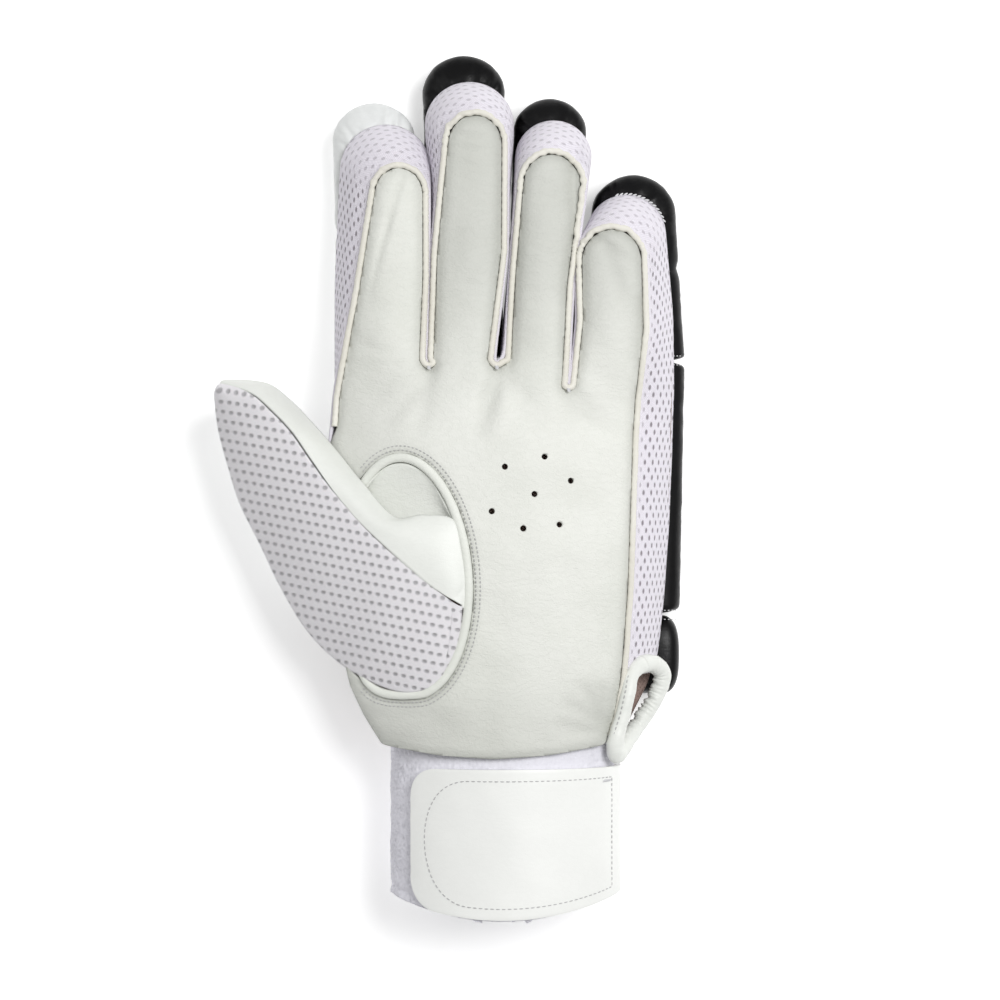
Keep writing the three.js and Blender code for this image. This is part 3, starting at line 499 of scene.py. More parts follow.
def leather_group() -> bpy.types.NodeTree:
    """Leather surface: fine pebbles, hair creases and broad tone, read from object coordinates."""
    maker = GroupMaker("leather surface", [("Place", None), ("Pebble", 1900.0), ("Crease", 320.0)],
                       ["Height", "Tone", "Creases"])
    place = maker.inputs["Place"]
    pebble = maker.add("ShaderNodeTexVoronoi", feature="F1")
    maker.feed(pebble.inputs["Vector"], place)
    maker.feed(pebble.inputs["Scale"], maker.inputs["Pebble"])
    grain = maker.noise(place, 2600.0, 3.0, 0.6)
    long_way = maker.mapped(place, (0.75, 1.4, 1.0), 0.25)
    crease = maker.add("ShaderNodeTexNoise")
    maker.feed(crease.inputs["Vector"], long_way)
    maker.feed(crease.inputs["Scale"], maker.inputs["Crease"])
    maker.feed(crease.inputs["Detail"], 5.0)
    lines = maker.math("ABSOLUTE", maker.math("SUBTRACT", crease.outputs[0], 0.5))
    creases = maker.span(lines, 0.0, 0.1)
    fine = maker.math("MULTIPLY_ADD", pebble.outputs["Distance"], 0.35, maker.math("MULTIPLY", grain, 0.4))
    maker.feed(maker.outputs["Height"], maker.math("MULTIPLY_ADD", creases, 0.3, fine))
    maker.feed(maker.outputs["Tone"], maker.noise(place, 28.0, 3.0, 0.5))
    maker.feed(maker.outputs["Creases"], creases)
    return maker.tree


def knit_group() -> bpy.types.NodeTree:
    """Open knit: staggered rows of holes between fine slanting yarns, read from a UV map in millimetres."""
    maker = GroupMaker(
        "open knit",
        [("Place", None), ("Pitch Across", 3.0), ("Pitch Along", 2.4), ("Hole Across", 0.7),
         ("Hole Along", 0.6), ("Yarn", 0.8), ("Open", 1.0)],
        ["Height", "Hole", "Rib"])
    parts = maker.add("ShaderNodeSeparateXYZ")
    maker.feed(parts.inputs[0], maker.inputs["Place"])
    u, v = parts.outputs[0], parts.outputs[1]
    rows = maker.math("DIVIDE", v, maker.inputs["Pitch Along"])
    odd = maker.math("FLOORED_MODULO", maker.math("FLOOR", rows), 2.0)
    columns = maker.math("MULTIPLY_ADD", odd, 0.5, maker.math("DIVIDE", u, maker.inputs["Pitch Across"]))
    from_u = maker.math("SUBTRACT", maker.math("FRACT", columns), 0.5)
    from_v = maker.math("SUBTRACT", maker.math("FRACT", rows), 0.5)
    du = maker.math("DIVIDE", maker.math("MULTIPLY", from_u, maker.inputs["Pitch Across"]),
                    maker.inputs["Hole Across"])
    dv = maker.math("DIVIDE", maker.math("MULTIPLY", from_v, maker.inputs["Pitch Along"]),
                    maker.inputs["Hole Along"])
    away = maker.math("SQRT", maker.math("ADD", maker.math("POWER", maker.math("ABSOLUTE", du), 2.0),
                                         maker.math("POWER", maker.math("ABSOLUTE", dv), 2.0)))
    hole = maker.math("MULTIPLY", maker.span(away, 0.5, 1.2, 1.0, 0.0), maker.inputs["Open"])
    turn = maker.math("DIVIDE", math.pi, maker.inputs["Yarn"])
    slant_a = maker.math("ABSOLUTE", maker.math("SINE", maker.math(
        "MULTIPLY", maker.math("ADD", u, v), turn)))
    slant_b = maker.math("ABSOLUTE", maker.math("SINE", maker.math(
        "MULTIPLY", maker.math("SUBTRACT", u, v), turn)))
    rib = maker.math("MULTIPLY", slant_a, slant_b)
    height = maker.math("SUBTRACT", maker.math("MULTIPLY", rib, 0.45), maker.math("MULTIPLY", hole, 1.4))
    maker.feed(maker.outputs["Height"], height)
    maker.feed(maker.outputs["Hole"], hole)
    maker.feed(maker.outputs["Rib"], rib)
    return maker.tree


def loop_group() -> bpy.types.NodeTree:
    """Towelling loops: crowded little lumps, read from object coordinates."""
    maker = GroupMaker("towelling loops", [("Place", None), ("Loop", 900.0)], ["Height", "Pit"])
    place = maker.inputs["Place"]
    loops = maker.add("ShaderNodeTexVoronoi", feature="F1")
    maker.feed(loops.inputs["Vector"], place)
    maker.feed(loops.inputs["Scale"], maker.inputs["Loop"])
    fluff = maker.noise(place, 1700.0, 4.0, 0.7)
    lump = maker.math("SUBTRACT", 1.0, loops.outputs["Distance"])
    maker.feed(maker.outputs["Height"], maker.math("MULTIPLY_ADD", fluff, 0.8, lump))
    maker.feed(maker.outputs["Pit"], maker.span(loops.outputs["Distance"], 0.35, 0.8))
    return maker.tree


GROUPS = {"leather": leather_group(), "knit": knit_group(), "loops": loop_group()}


class Finish:
    """Base of the finishes: makes a material once and gives it to pieces."""

    name: str
    slot: Slot

    def start(self) -> tuple[bpy.types.Material, NodeMaker, bpy.types.Node]:
        """Starts an empty material.

        Returns:
            The material, its node maker and its Principled shader.
        """
        material = bpy.data.materials.new(self.name)
        material.use_nodes = True
        material.node_tree.nodes.clear()
        maker = NodeMaker(material.node_tree)
        shader = maker.add("ShaderNodeBsdfPrincipled")
        output = maker.add("ShaderNodeOutputMaterial")
        maker.feed(output.inputs["Surface"], shader.outputs[0])
        return material, maker, shader

    def use_group(self, maker: NodeMaker, name: str, place: object) -> bpy.types.Node:
        """Places a shared group in the material."""
        node = maker.add("ShaderNodeGroup", node_tree=GROUPS[name])
        maker.feed(node.inputs["Place"], place)
        return node

    def bump(self, maker: NodeMaker, shader: bpy.types.Node, height: object, depth: float, strength: float
             ) -> None:
        """Gives the shader a bump of a depth in millimetres."""
        node = maker.add("ShaderNodeBump")
        node.inputs["Strength"].default_value = strength
        node.inputs["Distance"].default_value = depth * MM
        maker.feed(node.inputs["Height"], height)
        maker.feed(shader.inputs["Normal"], node.outputs[0])

    def material(self) -> bpy.types.Material:
        """The finished material, made at its first use."""
        found = bpy.data.materials.get(self.name)
        return found if found else self.build()

    def build(self) -> bpy.types.Material:
        """Makes the material."""
        raise NotImplementedError


@dataclass(frozen=True)
class LeatherFinish(Finish):
    """Leather with grain, creases, a slightly uneven tone and painted shade in its creases and where a piece
    asks for it.
    """

    name: str
    slot: Slot
    colour: tuple
    shade: tuple
    roughness: float
    grain: float = 0.12
    pebble: float = 1900.0
    crease: float = 320.0
    specular: float = 0.4
    coat: float = 0.0

    def build(self) -> bpy.types.Material:
        """Makes the material."""
        material, maker, shader = self.start()
        place = maker.add("ShaderNodeTexCoord").outputs["Object"]
        surface = self.use_group(maker, "leather", place)
        surface.inputs["Pebble"].default_value = self.pebble
        surface.inputs["Crease"].default_value = self.crease
        tone = maker.span(surface.outputs["Tone"], 0.3, 0.7, 0.0, 0.55)
        # The fine crease grooves take the second colour together with the random tone: painted shade on the
        # pale leathers, a little lighter on the black
        crease_and_tone_blend = maker.math("MULTIPLY_ADD", maker.math("SUBTRACT", 1.0, surface.outputs["Creases"]), 0.14, tone)
        # An attribute set on the palm leather darkens the colour further: painted shade in its fold valleys
        # and beside its rim, and darkening towards the fingertips, the wrist and the thumb side
        shade_and_darkening = maker.add("ShaderNodeAttribute", attribute_name="shade_and_darkening").outputs["Fac"]
        shade_and_darkening_colour = tuple(c * 0.66 for c in self.shade[:3]) + (1.0,)
        maker.feed(shader.inputs["Base Color"],
                   maker.blend(shade_and_darkening, maker.blend(crease_and_tone_blend, self.colour, self.shade), shade_and_darkening_colour))
        rough = maker.math("MULTIPLY_ADD", surface.outputs["Height"], 0.12, self.roughness - 0.05)
        maker.feed(shader.inputs["Roughness"], rough)
        shader.inputs["Specular IOR Level"].default_value = self.specular
        shader.inputs["Coat Weight"].default_value = self.coat
        shader.inputs["Coat Roughness"].default_value = 0.25
        self.bump(maker, shader, surface.outputs["Height"], self.grain, 0.8)
        return material


@dataclass(frozen=True)
class KnitFinish(Finish):
    """Spacer mesh or plain knit, which follows the piece's UV map in millimetres, with painted shade in its
    holes and between its yarns.
    """

    name: str
    slot: Slot
    colour: tuple
    hole_shade_colour: tuple
    pitch: tuple[float, float] = (3.0, 2.4)
    hole: tuple[float, float] = (0.62, 0.55)
    yarn: float = 0.85
    depth: float = 0.35
    hole_shade: float = 0.85

    def build(self) -> bpy.types.Material:
        """Makes the material."""
        material, maker, shader = self.start()
        place = maker.add("ShaderNodeUVMap", uv_map="cut").outputs[0]
        knit = self.use_group(maker, "knit", place)
        knit.inputs["Pitch Across"].default_value = self.pitch[0]
        knit.inputs["Pitch Along"].default_value = self.pitch[1]
        knit.inputs["Hole Across"].default_value = self.hole[0]
        knit.inputs["Hole Along"].default_value = self.hole[1]
        knit.inputs["Yarn"].default_value = self.yarn
        opening = maker.add("ShaderNodeAttribute", attribute_name="open")
        maker.feed(knit.inputs["Open"], opening.outputs["Fac"])
        # Painted shade: the grooves between the yarns lean a little towards the holes' shade colour, and the
        # holes take it fully, as the inside lies in shade
        ribbed = maker.blend(maker.math("MULTIPLY", maker.math("SUBTRACT", 1.0, knit.outputs["Rib"]), 0.3),
                             self.colour, self.hole_shade_colour)
        painted_hole_shade = maker.math("MULTIPLY", knit.outputs["Hole"], self.hole_shade)
        maker.feed(shader.inputs["Base Color"], maker.blend(painted_hole_shade, ribbed, self.hole_shade_colour))
        shader.inputs["Roughness"].default_value = 0.85
        shader.inputs["Specular IOR Level"].default_value = 0.25
        shader.inputs["Sheen Weight"].default_value = 0.25
        shader.inputs["Sheen Roughness"].default_value = 0.5
        self.bump(maker, shader, knit.outputs["Height"], self.depth, 0.9)
        return material


@dataclass(frozen=True)
class TowellingFinish(Finish):
    """Looped towelling with painted shade between its loops."""

    name: str
    slot: Slot
    colour: tuple
    pit_shade_colour: tuple

    def build(self) -> bpy.types.Material:
        """Makes the material."""
        material, maker, shader = self.start()
        place = maker.add("ShaderNodeTexCoord").outputs["Object"]
        loops = self.use_group(maker, "loops", place)
        # Painted shade in the pits between the loops
        maker.feed(shader.inputs["Base Color"], maker.blend(
            maker.math("MULTIPLY", loops.outputs["Pit"], 0.6), self.colour, self.pit_shade_colour))
        shader.inputs["Roughness"].default_value = 0.95
        shader.inputs["Specular IOR Level"].default_value = 0.15
        shader.inputs["Sheen Weight"].default_value = 0.35
        self.bump(maker, shader, loops.outputs["Height"], 0.9, 1.0)
        return material


@dataclass(frozen=True)
class ThreadFinish(Finish):
    """Twisted sewing thread."""

    name: str
    slot: Slot
    colour: tuple

    def build(self) -> bpy.types.Material:
        """Makes the material."""
        material, maker, shader = self.start()
        place = maker.add("ShaderNodeTexCoord").outputs["Object"]
        twist = maker.noise(maker.mapped(place, (1.0, 1.0, 1.0), 0.6), 5000.0, 1.0)
        dark = tuple(c * 0.8 for c in self.colour[:3]) + (1.0,)
        maker.feed(shader.inputs["Base Color"], maker.blend(twist, self.colour, dark))
        shader.inputs["Roughness"].default_value = 0.6
        self.bump(maker, shader, twist, 0.05, 0.6)
        return material


PALM_FINISH = LeatherFinish("palm leather", Slot.PALM, srgb(228, 229, 223), srgb(213, 215, 207), 0.6,
                            grain=0.2)
PIPING_FINISH = LeatherFinish("rolled edge", Slot.PIPING, srgb(230, 228, 219), srgb(214, 210, 198), 0.6,
                              grain=0.1, crease=600.0)
WHITE_FINISH = LeatherFinish("white leather", Slot.WHITE, srgb(233, 235, 230), srgb(222, 224, 219), 0.42,
                             grain=0.05, pebble=2600.0)
PAD_FINISH = LeatherFinish("white pad leather", Slot.WHITE, srgb(230, 232, 231), srgb(217, 219, 218), 0.4,
                           grain=0.06, pebble=2600.0)
PATCH_FINISH = LeatherFinish("thumb patch leather", Slot.PALM, srgb(228, 230, 224), srgb(212, 215, 206), 0.62,
                             grain=0.16)
BLACK_FINISH = LeatherFinish("black leather", Slot.BLACK, srgb(10, 10, 11), srgb(16, 16, 17), 0.34,
                             grain=0.06, specular=0.2)
STRAP_FINISH = LeatherFinish("strap leather", Slot.STRAP, srgb(240, 241, 238), srgb(233, 234, 231), 0.38,
                             grain=0.03, pebble=2400.0)
# The second colour of each knit is the painted shade of its holes
MESH_FINISH = KnitFinish("thumb mesh", Slot.KNIT, srgb(248, 246, 249), srgb(170, 167, 171),
                         pitch=(2.7, 3.0), hole=(0.82, 0.66), yarn=0.75, depth=0.4, hole_shade=0.8)
WALL_FINISH = KnitFinish("finger mesh", Slot.KNIT, srgb(249, 245, 254), srgb(134, 126, 134),
                         pitch=(5.0, 1.9), hole=(0.95, 0.6), depth=0.35, hole_shade=0.9)
LINING_FINISH = KnitFinish("brushed lining", Slot.LINING, srgb(160, 138, 130), srgb(120, 100, 94),
                           pitch=(1.4, 1.0), hole=(0.2, 0.2), yarn=0.6, depth=0.15)
WELT_FINISH = LeatherFinish("welt leather", Slot.PIPING, srgb(231, 233, 226), srgb(216, 219, 211), 0.6)
# Its second colour is the painted shade between the loops
TERRY_FINISH = TowellingFinish("towelling", Slot.TOWELLING, srgb(238, 237, 242), srgb(190, 188, 196))
THREAD_FINISH = ThreadFinish("white thread", Slot.STRAP, srgb(222, 222, 224))
GREY_THREAD_FINISH = ThreadFinish("grey thread", Slot.STRAP, srgb(196, 196, 196))

CutMap = Callable[[float, float], tuple[float, float]]


def finish_piece(
    name: str, work: bmesh.types.BMesh, finish: Finish, nodes: Sequence[str] = (), thickness: float = 0.0,
    soft_edge: float = 0.0, levels: int = 0,
) -> bpy.types.Object:
    """Makes a dressed piece from a bmesh.

    Args:
        name: The piece's name.
        work: The mesh in metres, freed here.
        finish: Its finish.
        nodes: The solids that it stands for.
        thickness: Wall in millimetres that the Solidify modifier gives below the surface.
        soft_edge: Bevel in millimetres for the wall's edges.
        levels: Subdivision levels.

    Returns:
        The new object.
    """
    for face in work.faces:
        face.smooth = True
    mesh = bpy.data.meshes.new(name)
    work.to_mesh(mesh)
    work.free()
    piece = bpy.data.objects.new(name, mesh)
    bpy.context.scene.collection.objects.link(piece)
    mesh.materials.append(finish.material())
    if thickness:
        wall = piece.modifiers.new("wall", "SOLIDIFY")
        wall.thickness = thickness * MM
        wall.offset = -1.0
        wall.use_even_offset = True
        wall.use_quality_normals = True
    if soft_edge:
        bevel = piece.modifiers.new("soft edge", "BEVEL")
        bevel.width = soft_edge * MM
        bevel.segments = 2
        bevel.limit_method = "ANGLE"
        bevel.angle_limit = math.radians(50)
    if levels:
        fine = piece.modifiers.new("fine", "SUBSURF")
        fine.levels = levels
        fine.render_levels = levels
    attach(piece, BODY)
    if nodes:
        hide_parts(*nodes)
    LOG.info("%s: %d faces", name, len(mesh.polygons))
    return piece


def declare_sheet(piece: bpy.types.Object, width: float, length: float) -> None:
    """Declares a sheet that is stretched over what it is sewn to.

    The area is that of the draped mesh and not of the UV map's cut, so comparing it with the cloth proves
    nothing about how far the cloth stretches.

    Args:
        piece: The sheet.
        width: A width in millimetres, widened where the area needs it.
        length: A length in millimetres, lengthened in the same way.
    """
    area = sum(polygon.area for polygon in piece.data.polygons)
    scale = max(1.0, math.sqrt(area / (width * length * MM * MM)))
    flat = (width * scale * MM, length * scale * MM)
    LOG.info("%s: cut %.0f by %.0f mm, %.0f cm2", piece.name, flat[0] / MM, flat[1] / MM, area * 1e4)


def even_cut(width: float, length: float) -> CutMap:
    """A UV map that spreads a cut's size in millimetres evenly over a grid."""
    return lambda u, v: (u * width, v * length)


def cut_from_plan(work: bmesh.types.BMesh, turn: float) -> None:
    """Lays the UV map on the plan, in millimetres, turned by an angle in degrees."""
    layer = work.loops.layers.uv["cut"]
    spin = Matrix.Rotation(math.radians(turn), 2)
    for face in work.faces:
        for loop in face.loops:
            loop[layer].uv = spin @ (loop.vert.co.to_2d() / MM)


def mapped_grid(
    columns: int, rows: int, place: Callable[[float, float], Vector], cut: CutMap, closed: bool = False,
    openness: Callable[[float, float], float] | None = None,
) -> bmesh.types.BMesh:
    """A grid whose points are put in place by a function.

    Args:
        columns: Steps across, for u.
        rows: Steps along, for v.
        place: The drawn point in millimetres for u and v from 0 to 1.
        cut: The UV map's millimetres for u and v.
        closed: Joins coinciding edges, as where a tube meets itself.
        openness: How open the knit's holes are for u and v, 1 everywhere by default.

    Returns:
        The bmesh in metres, with a UV map in millimetres.
    """
    work = bmesh.new()
    bmesh.ops.create_grid(work, x_segments=columns, y_segments=rows, size=0.5)
    layer = work.loops.layers.uv.new("cut")
    for face in work.faces:
        for loop in face.loops:
            loop[layer].uv = cut(loop.vert.co.x + 0.5, loop.vert.co.y + 0.5)
    holes = work.verts.layers.float.new("open")
    for vert in work.verts:
        u, v = vert.co.x + 0.5, vert.co.y + 0.5
        vert[holes] = openness(u, v) if openness else 1.0
        vert.co = placed(place(u, v))
    if closed:
        bmesh.ops.remove_doubles(work, verts=work.verts[:], dist=1e-6)
    return work


def face_up(work: bmesh.types.BMesh) -> None:
    """Turns an open sheet over if most of it looks down."""
    if sum(face.normal.z * face.calc_area() for face in work.faces) < 0:
        bmesh.ops.reverse_faces(work, faces=work.faces[:])


def face_out(work: bmesh.types.BMesh) -> None:
    """Closes the ends of a tube or bag and turns its faces outwards."""
    bmesh.ops.holes_fill(work, edges=[e for e in work.edges if e.is_boundary], sides=0)
    bmesh.ops.recalc_face_normals(work, faces=work.faces[:])


def resampled(points: Sequence[Vector], count: int, closed: bool = False) -> list[Vector]:
    """Spaces a path's points evenly.

    Args:
        points: The path.
        count: How many steps the new path has.
        closed: The path joins its start.

    Returns:
        count + 1 points, or count points where the path is closed.
    """
    ring = list(points) + ([points[0]] if closed else [])
    lengths = [0.0]
    for a, b in zip(ring, ring[1:]):
        lengths.append(lengths[-1] + (b - a).length)
    found = []
    i = 0
    for step in range(count if closed else count + 1):
        want = lengths[-1] * step / count
        while i < len(ring) - 2 and lengths[i + 1] < want:
            i += 1
        span = max(lengths[i + 1] - lengths[i], 1e-9)
        found.append(ring[i].lerp(ring[i + 1], clamp((want - lengths[i]) / span, 0.0, 1.0)))
    return found


def path_length(points: Sequence[Vector]) -> float:
    """The length of a path."""
    return sum((b - a).length for a, b in zip(points, points[1:]))


def relaxed(points: Sequence[Vector], passes: int, closed: bool = False) -> list[Vector]:
    """Rounds a path's corners a little."""
    found = list(points)
    for _ in range(passes):
        count = len(found)
        last = list(found)
        for i in range(0 if closed else 1, count if closed else count - 1):
            found[i] = (last[i - 1] + last[i] * 2 + last[(i + 1) % count]) / 4
    return found


def tube(
    path: Sequence[Vector], sides: int, section: Callable[[float, float], tuple[float, float]],
    closed: bool = False,
) -> bmesh.types.BMesh:
    """A tube along a path.

    Args:
        path: Drawn points in millimetres.
        sides: Steps around.
        section: Sideways and upward size for the distance along and the angle around.
        closed: The path joins its start.

    Returns:
        The bmesh in metres.
    """
    count = len(path)
    ways = []
    for i in range(count):
        if closed:
            way = path[(i + 1) % count] - path[i - 1]
        else:
            way = path[min(count - 1, i + 1)] - path[max(0, i - 1)]
        ways.append(way.normalized())
    steps = count if closed else count - 1
    total = path_length(path)

    def place(u: float, v: float) -> Vector:
        """The tube's point at a share along and a share around."""
        i = round(u * steps) % count
        side = Vector((0, 0, 1)).cross(ways[i]).normalized()
        rise = ways[i].cross(side)
        angle = v * math.tau
        wide, high = section(u * total, angle)
        return path[i] + side * wide + rise * high

    work = mapped_grid(steps, sides, place, even_cut(total, 6.0), closed=True)
    face_out(work)
    return work


def add_stitches(
    work: bmesh.types.BMesh, path: Sequence[Vector], pitch: float, length: float, radius: float,
    slant: float = 0.0,
) -> None:
    """Adds a row of short rounded stitches along a path.

    Args:
        work: The bmesh in metres that takes them.
        path: Drawn points in millimetres.
        pitch: From stitch to stitch.
        length: Of one stitch.
        radius: Of the thread.
        slant: Turn of each stitch out of the row's line, in degrees.
    """
    total = path_length(path)
    count = max(1, round(total / pitch))
    fine = resampled(path, count * 4)
    for i in range(count):
        middle = fine[i * 4 + 2]
        way = (fine[i * 4 + 3] - fine[i * 4 + 1]).normalized()
        if slant:
            way = Matrix.Rotation(math.radians(slant), 3, "Z") @ way
        turn = way.to_track_quat("Z", "Y").to_matrix().to_4x4()
        size = Matrix.Diagonal((radius * MM, radius * MM, length / 2 * MM, 1.0))
        bmesh.ops.create_uvsphere(
            work, u_segments=6, v_segments=5, radius=1.0,
            matrix=Matrix.Translation(placed(middle)) @ turn @ size)


def soften_rim(work: bmesh.types.BMesh, passes: int) -> None:
    """Rounds the corners of a flat sheet's rims."""
    rim = [v for v in work.verts if v.is_boundary]
    for _ in range(passes):
        moved = []
        for vert in rim:
            near = [e.other_vert(vert).co for e in vert.link_edges if e.is_boundary]
            moved.append(vert.co.lerp((near[0] + near[1]) / 2, 0.5))
        for vert, spot in zip(rim, moved):
            vert.co = spot


def top_of_solid(node: str, pitch: float) -> bmesh.types.BMesh:
    """The upper face of a packed sheet, laid flat and cut into small even cells.

    Args:
        node: The solid.
        pitch: Cell size in millimetres.

    Returns:
        A flat bmesh in metres with a UV map in millimetres.
    """
    work = bmesh.new()
    work.from_mesh(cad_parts[node].data)
    bmesh.ops.remove_doubles(work, verts=work.verts[:], dist=2e-6)
    bmesh.ops.recalc_face_normals(work, faces=work.faces[:])
    hidden = [f for f in work.faces if f.normal.z < 0.3]
    bmesh.ops.delete(work, geom=hidden, context="FACES")
    for vert in work.verts:
        vert.co.z = 0.0
    rim = [e for e in work.edges if e.is_boundary]
    bmesh.ops.subdivide_edges(work, edges=rim, cuts=2)
    soften_rim(work, 4)
    for edge in work.edges:
        edge.seam = not edge.is_boundary
    low = [min(v.co[k] for v in work.verts) for k in (0, 1)]
    high = [max(v.co[k] for v in work.verts) for k in (0, 1)]
    for axis in (0, 1):
        normal = Vector((1 - axis, axis, 0))
        steps = math.ceil((high[axis] - low[axis]) / (pitch * MM))
        for i in range(1, steps):
            spot = normal * (low[axis] + (high[axis] - low[axis]) * i / steps)
            geometry = work.verts[:] + work.edges[:] + work.faces[:]
            bmesh.ops.bisect_plane(work, geom=geometry, plane_co=spot, plane_no=normal, dist=1e-6)
    inner = [e for e in work.edges if e.seam and not e.is_boundary]
    bmesh.ops.dissolve_edges(work, edges=inner, use_verts=False, use_face_split=False)
    spare = [v for v in work.verts if len(v.link_edges) == 2 and not v.is_boundary]
    bmesh.ops.dissolve_verts(work, verts=spare)
    layer = work.loops.layers.uv.new("cut")
    for face in work.faces:
        for loop in face.loops:
            loop[layer].uv = (loop.vert.co.x / MM, loop.vert.co.y / MM)
    holes = work.verts.layers.float.new("open")
    for vert in work.verts:
        vert[holes] = 1.0
    face_up(work)
    return work


def rim_distance(work: bmesh.types.BMesh, holes: Sequence[Vector] = ()) -> Callable[[Vector], float]:
    """How far plan points lie from a sheet's rim.

    Args:
        work: The flat sheet.
        holes: Places of small holes whose rims don't count, in metres.

    Returns:
        A function that gives a plan point's distance in millimetres.
    """
    rim = []
    for edge in work.edges:
        middle = (edge.verts[0].co + edge.verts[1].co) / 2
        if edge.is_boundary and all((middle - hole).length > 2 * MM for hole in holes):
            rim.append((edge.verts[0].co.copy(), middle))
    tree = kdtree.KDTree(len(rim) * 2)
    for i, (corner, middle) in enumerate(rim):
        tree.insert(corner, i * 2)
        tree.insert(middle, i * 2 + 1)
    tree.balance()
    return lambda point: tree.find(point)[2] / MM


def ripple(x: float, y: float, z: float = 0.0) -> float:
    """Seeded noise between about -1 and 1."""
    return noise.noise(Vector((x, y, z)), noise_basis="PERLIN_ORIGINAL")


@dataclass
class Fold:
    """A crease or a ridge in leather along a bent line, in drawn millimetres."""

    start: tuple[float, float]
    bend: tuple[float, float]
    end: tuple[float, float]
    height: float
    width: float
    steps: int = 10
    line: list[Vector] = field(default_factory=list)

    def __post_init__(self) -> None:
        """Samples the line."""
        a, b, c = (Vector(p) for p in (self.start, self.bend, self.end))
        for i in range(self.steps + 1):
            t = i / self.steps
            self.line.append(a * (1 - t) ** 2 + b * 2 * t * (1 - t) + c * t * t)

    def lift(self, point: Vector) -> float:
        """How far the fold raises the leather at a plan point."""
        reach = self.width * 2.6
        if abs(point.x - self.bend[0]) > reach + abs(self.start[0] - self.end[0]) + 4:
            return 0.0
        if abs(point.y - self.bend[1]) > reach + abs(self.start[1] - self.end[1]) + 4:
            return 0.0
        best = 1e9
        share = 0.0
        for i, (a, b) in enumerate(zip(self.line, self.line[1:])):
            way = b - a
            t = clamp((point - a).dot(way) / way.length_squared, 0.0, 1.0)
            away = (point - a - way * t).length
            if away < best:
                best = away
                share = (i + t) / self.steps
        if best > reach:
            return 0.0
        fade = math.sin(math.pi * clamp(0.18 + share * 0.82, 0.0, 1.0)) ** 0.8
        return self.height * fade * math.exp(-(best / self.width) ** 2)


PALM_FOLDS = (
    Fold((15.0, 38.9), (12.7, 28.4), (7.5, 14.8), -1.3, 3.4),
    Fold((18.3, 37.6), (16.3, 26.8), (11.8, 15.4), 0.5, 4.0),
    Fold((37.8, 32.4), (40.7, 24.5), (56.4, 17.4), -1.1, 3.8),
    Fold((43.0, 20.3), (47.9, 14.8), (56.1, 11.5), 0.5, 5.0),
    Fold((-7.8, 38.9), (-13.3, 30.1), (-23.7, 18.7), -0.6, 3.0),
    Fold((-7.8, 38.9), (-9.1, 25.2), (-12.3, 15.4), -0.4, 3.0),
    Fold((-9.4, 39.5), (-17.2, 33.3), (-28.6, 28.4), -0.4, 2.5),
    Fold((50.8, -78.4), (43.0, -73.2), (34.9, -69.3), -0.8, 2.4),
    Fold((50.5, -76.4), (44.7, -69.3), (40.7, -62.8), -0.7, 2.2),
    Fold((49.9, -81.0), (39.8, -78.4), (31.6, -76.4), -0.5, 2.2),
    Fold((51.8, -74.2), (49.2, -68.6), (47.9, -62.8), -0.6, 3.0),
    Fold((-16.6, 103.0), (-22.4, 85.4), (-28.3, 59.1), -0.6, 1.0),
    Fold((50.8, 77.3), (55.1, 65.9), (58.3, 58.1), -0.5, 2.5),
    Fold((44.7, 83.2), (49.5, 79.6), (60.9, 73.4), -0.5, 1.8),
    Fold((60.9, 61.0), (60.3, 48.0), (58.3, 38.2), -0.6, 3.0),
    Fold((-0.3, 117.0), (5.6, 115.1), (13.7, 116.4), -0.35, 1.2),
    Fold((0.7, 112.8), (6.2, 110.8), (14.7, 112.5), -0.3, 1.2),
    Fold((17.0, 36.6), (25.1, 28.4), (31.0, 18.7), -0.3, 4.0),
    Fold((-17.2, -69.3), (-7.5, -77.4), (8.8, -80.7), -0.3, 5.0),
    Fold((-33.5, 51.2), (-29.6, 46.4), (-22.1, 44.7), -0.3, 2.0),
)


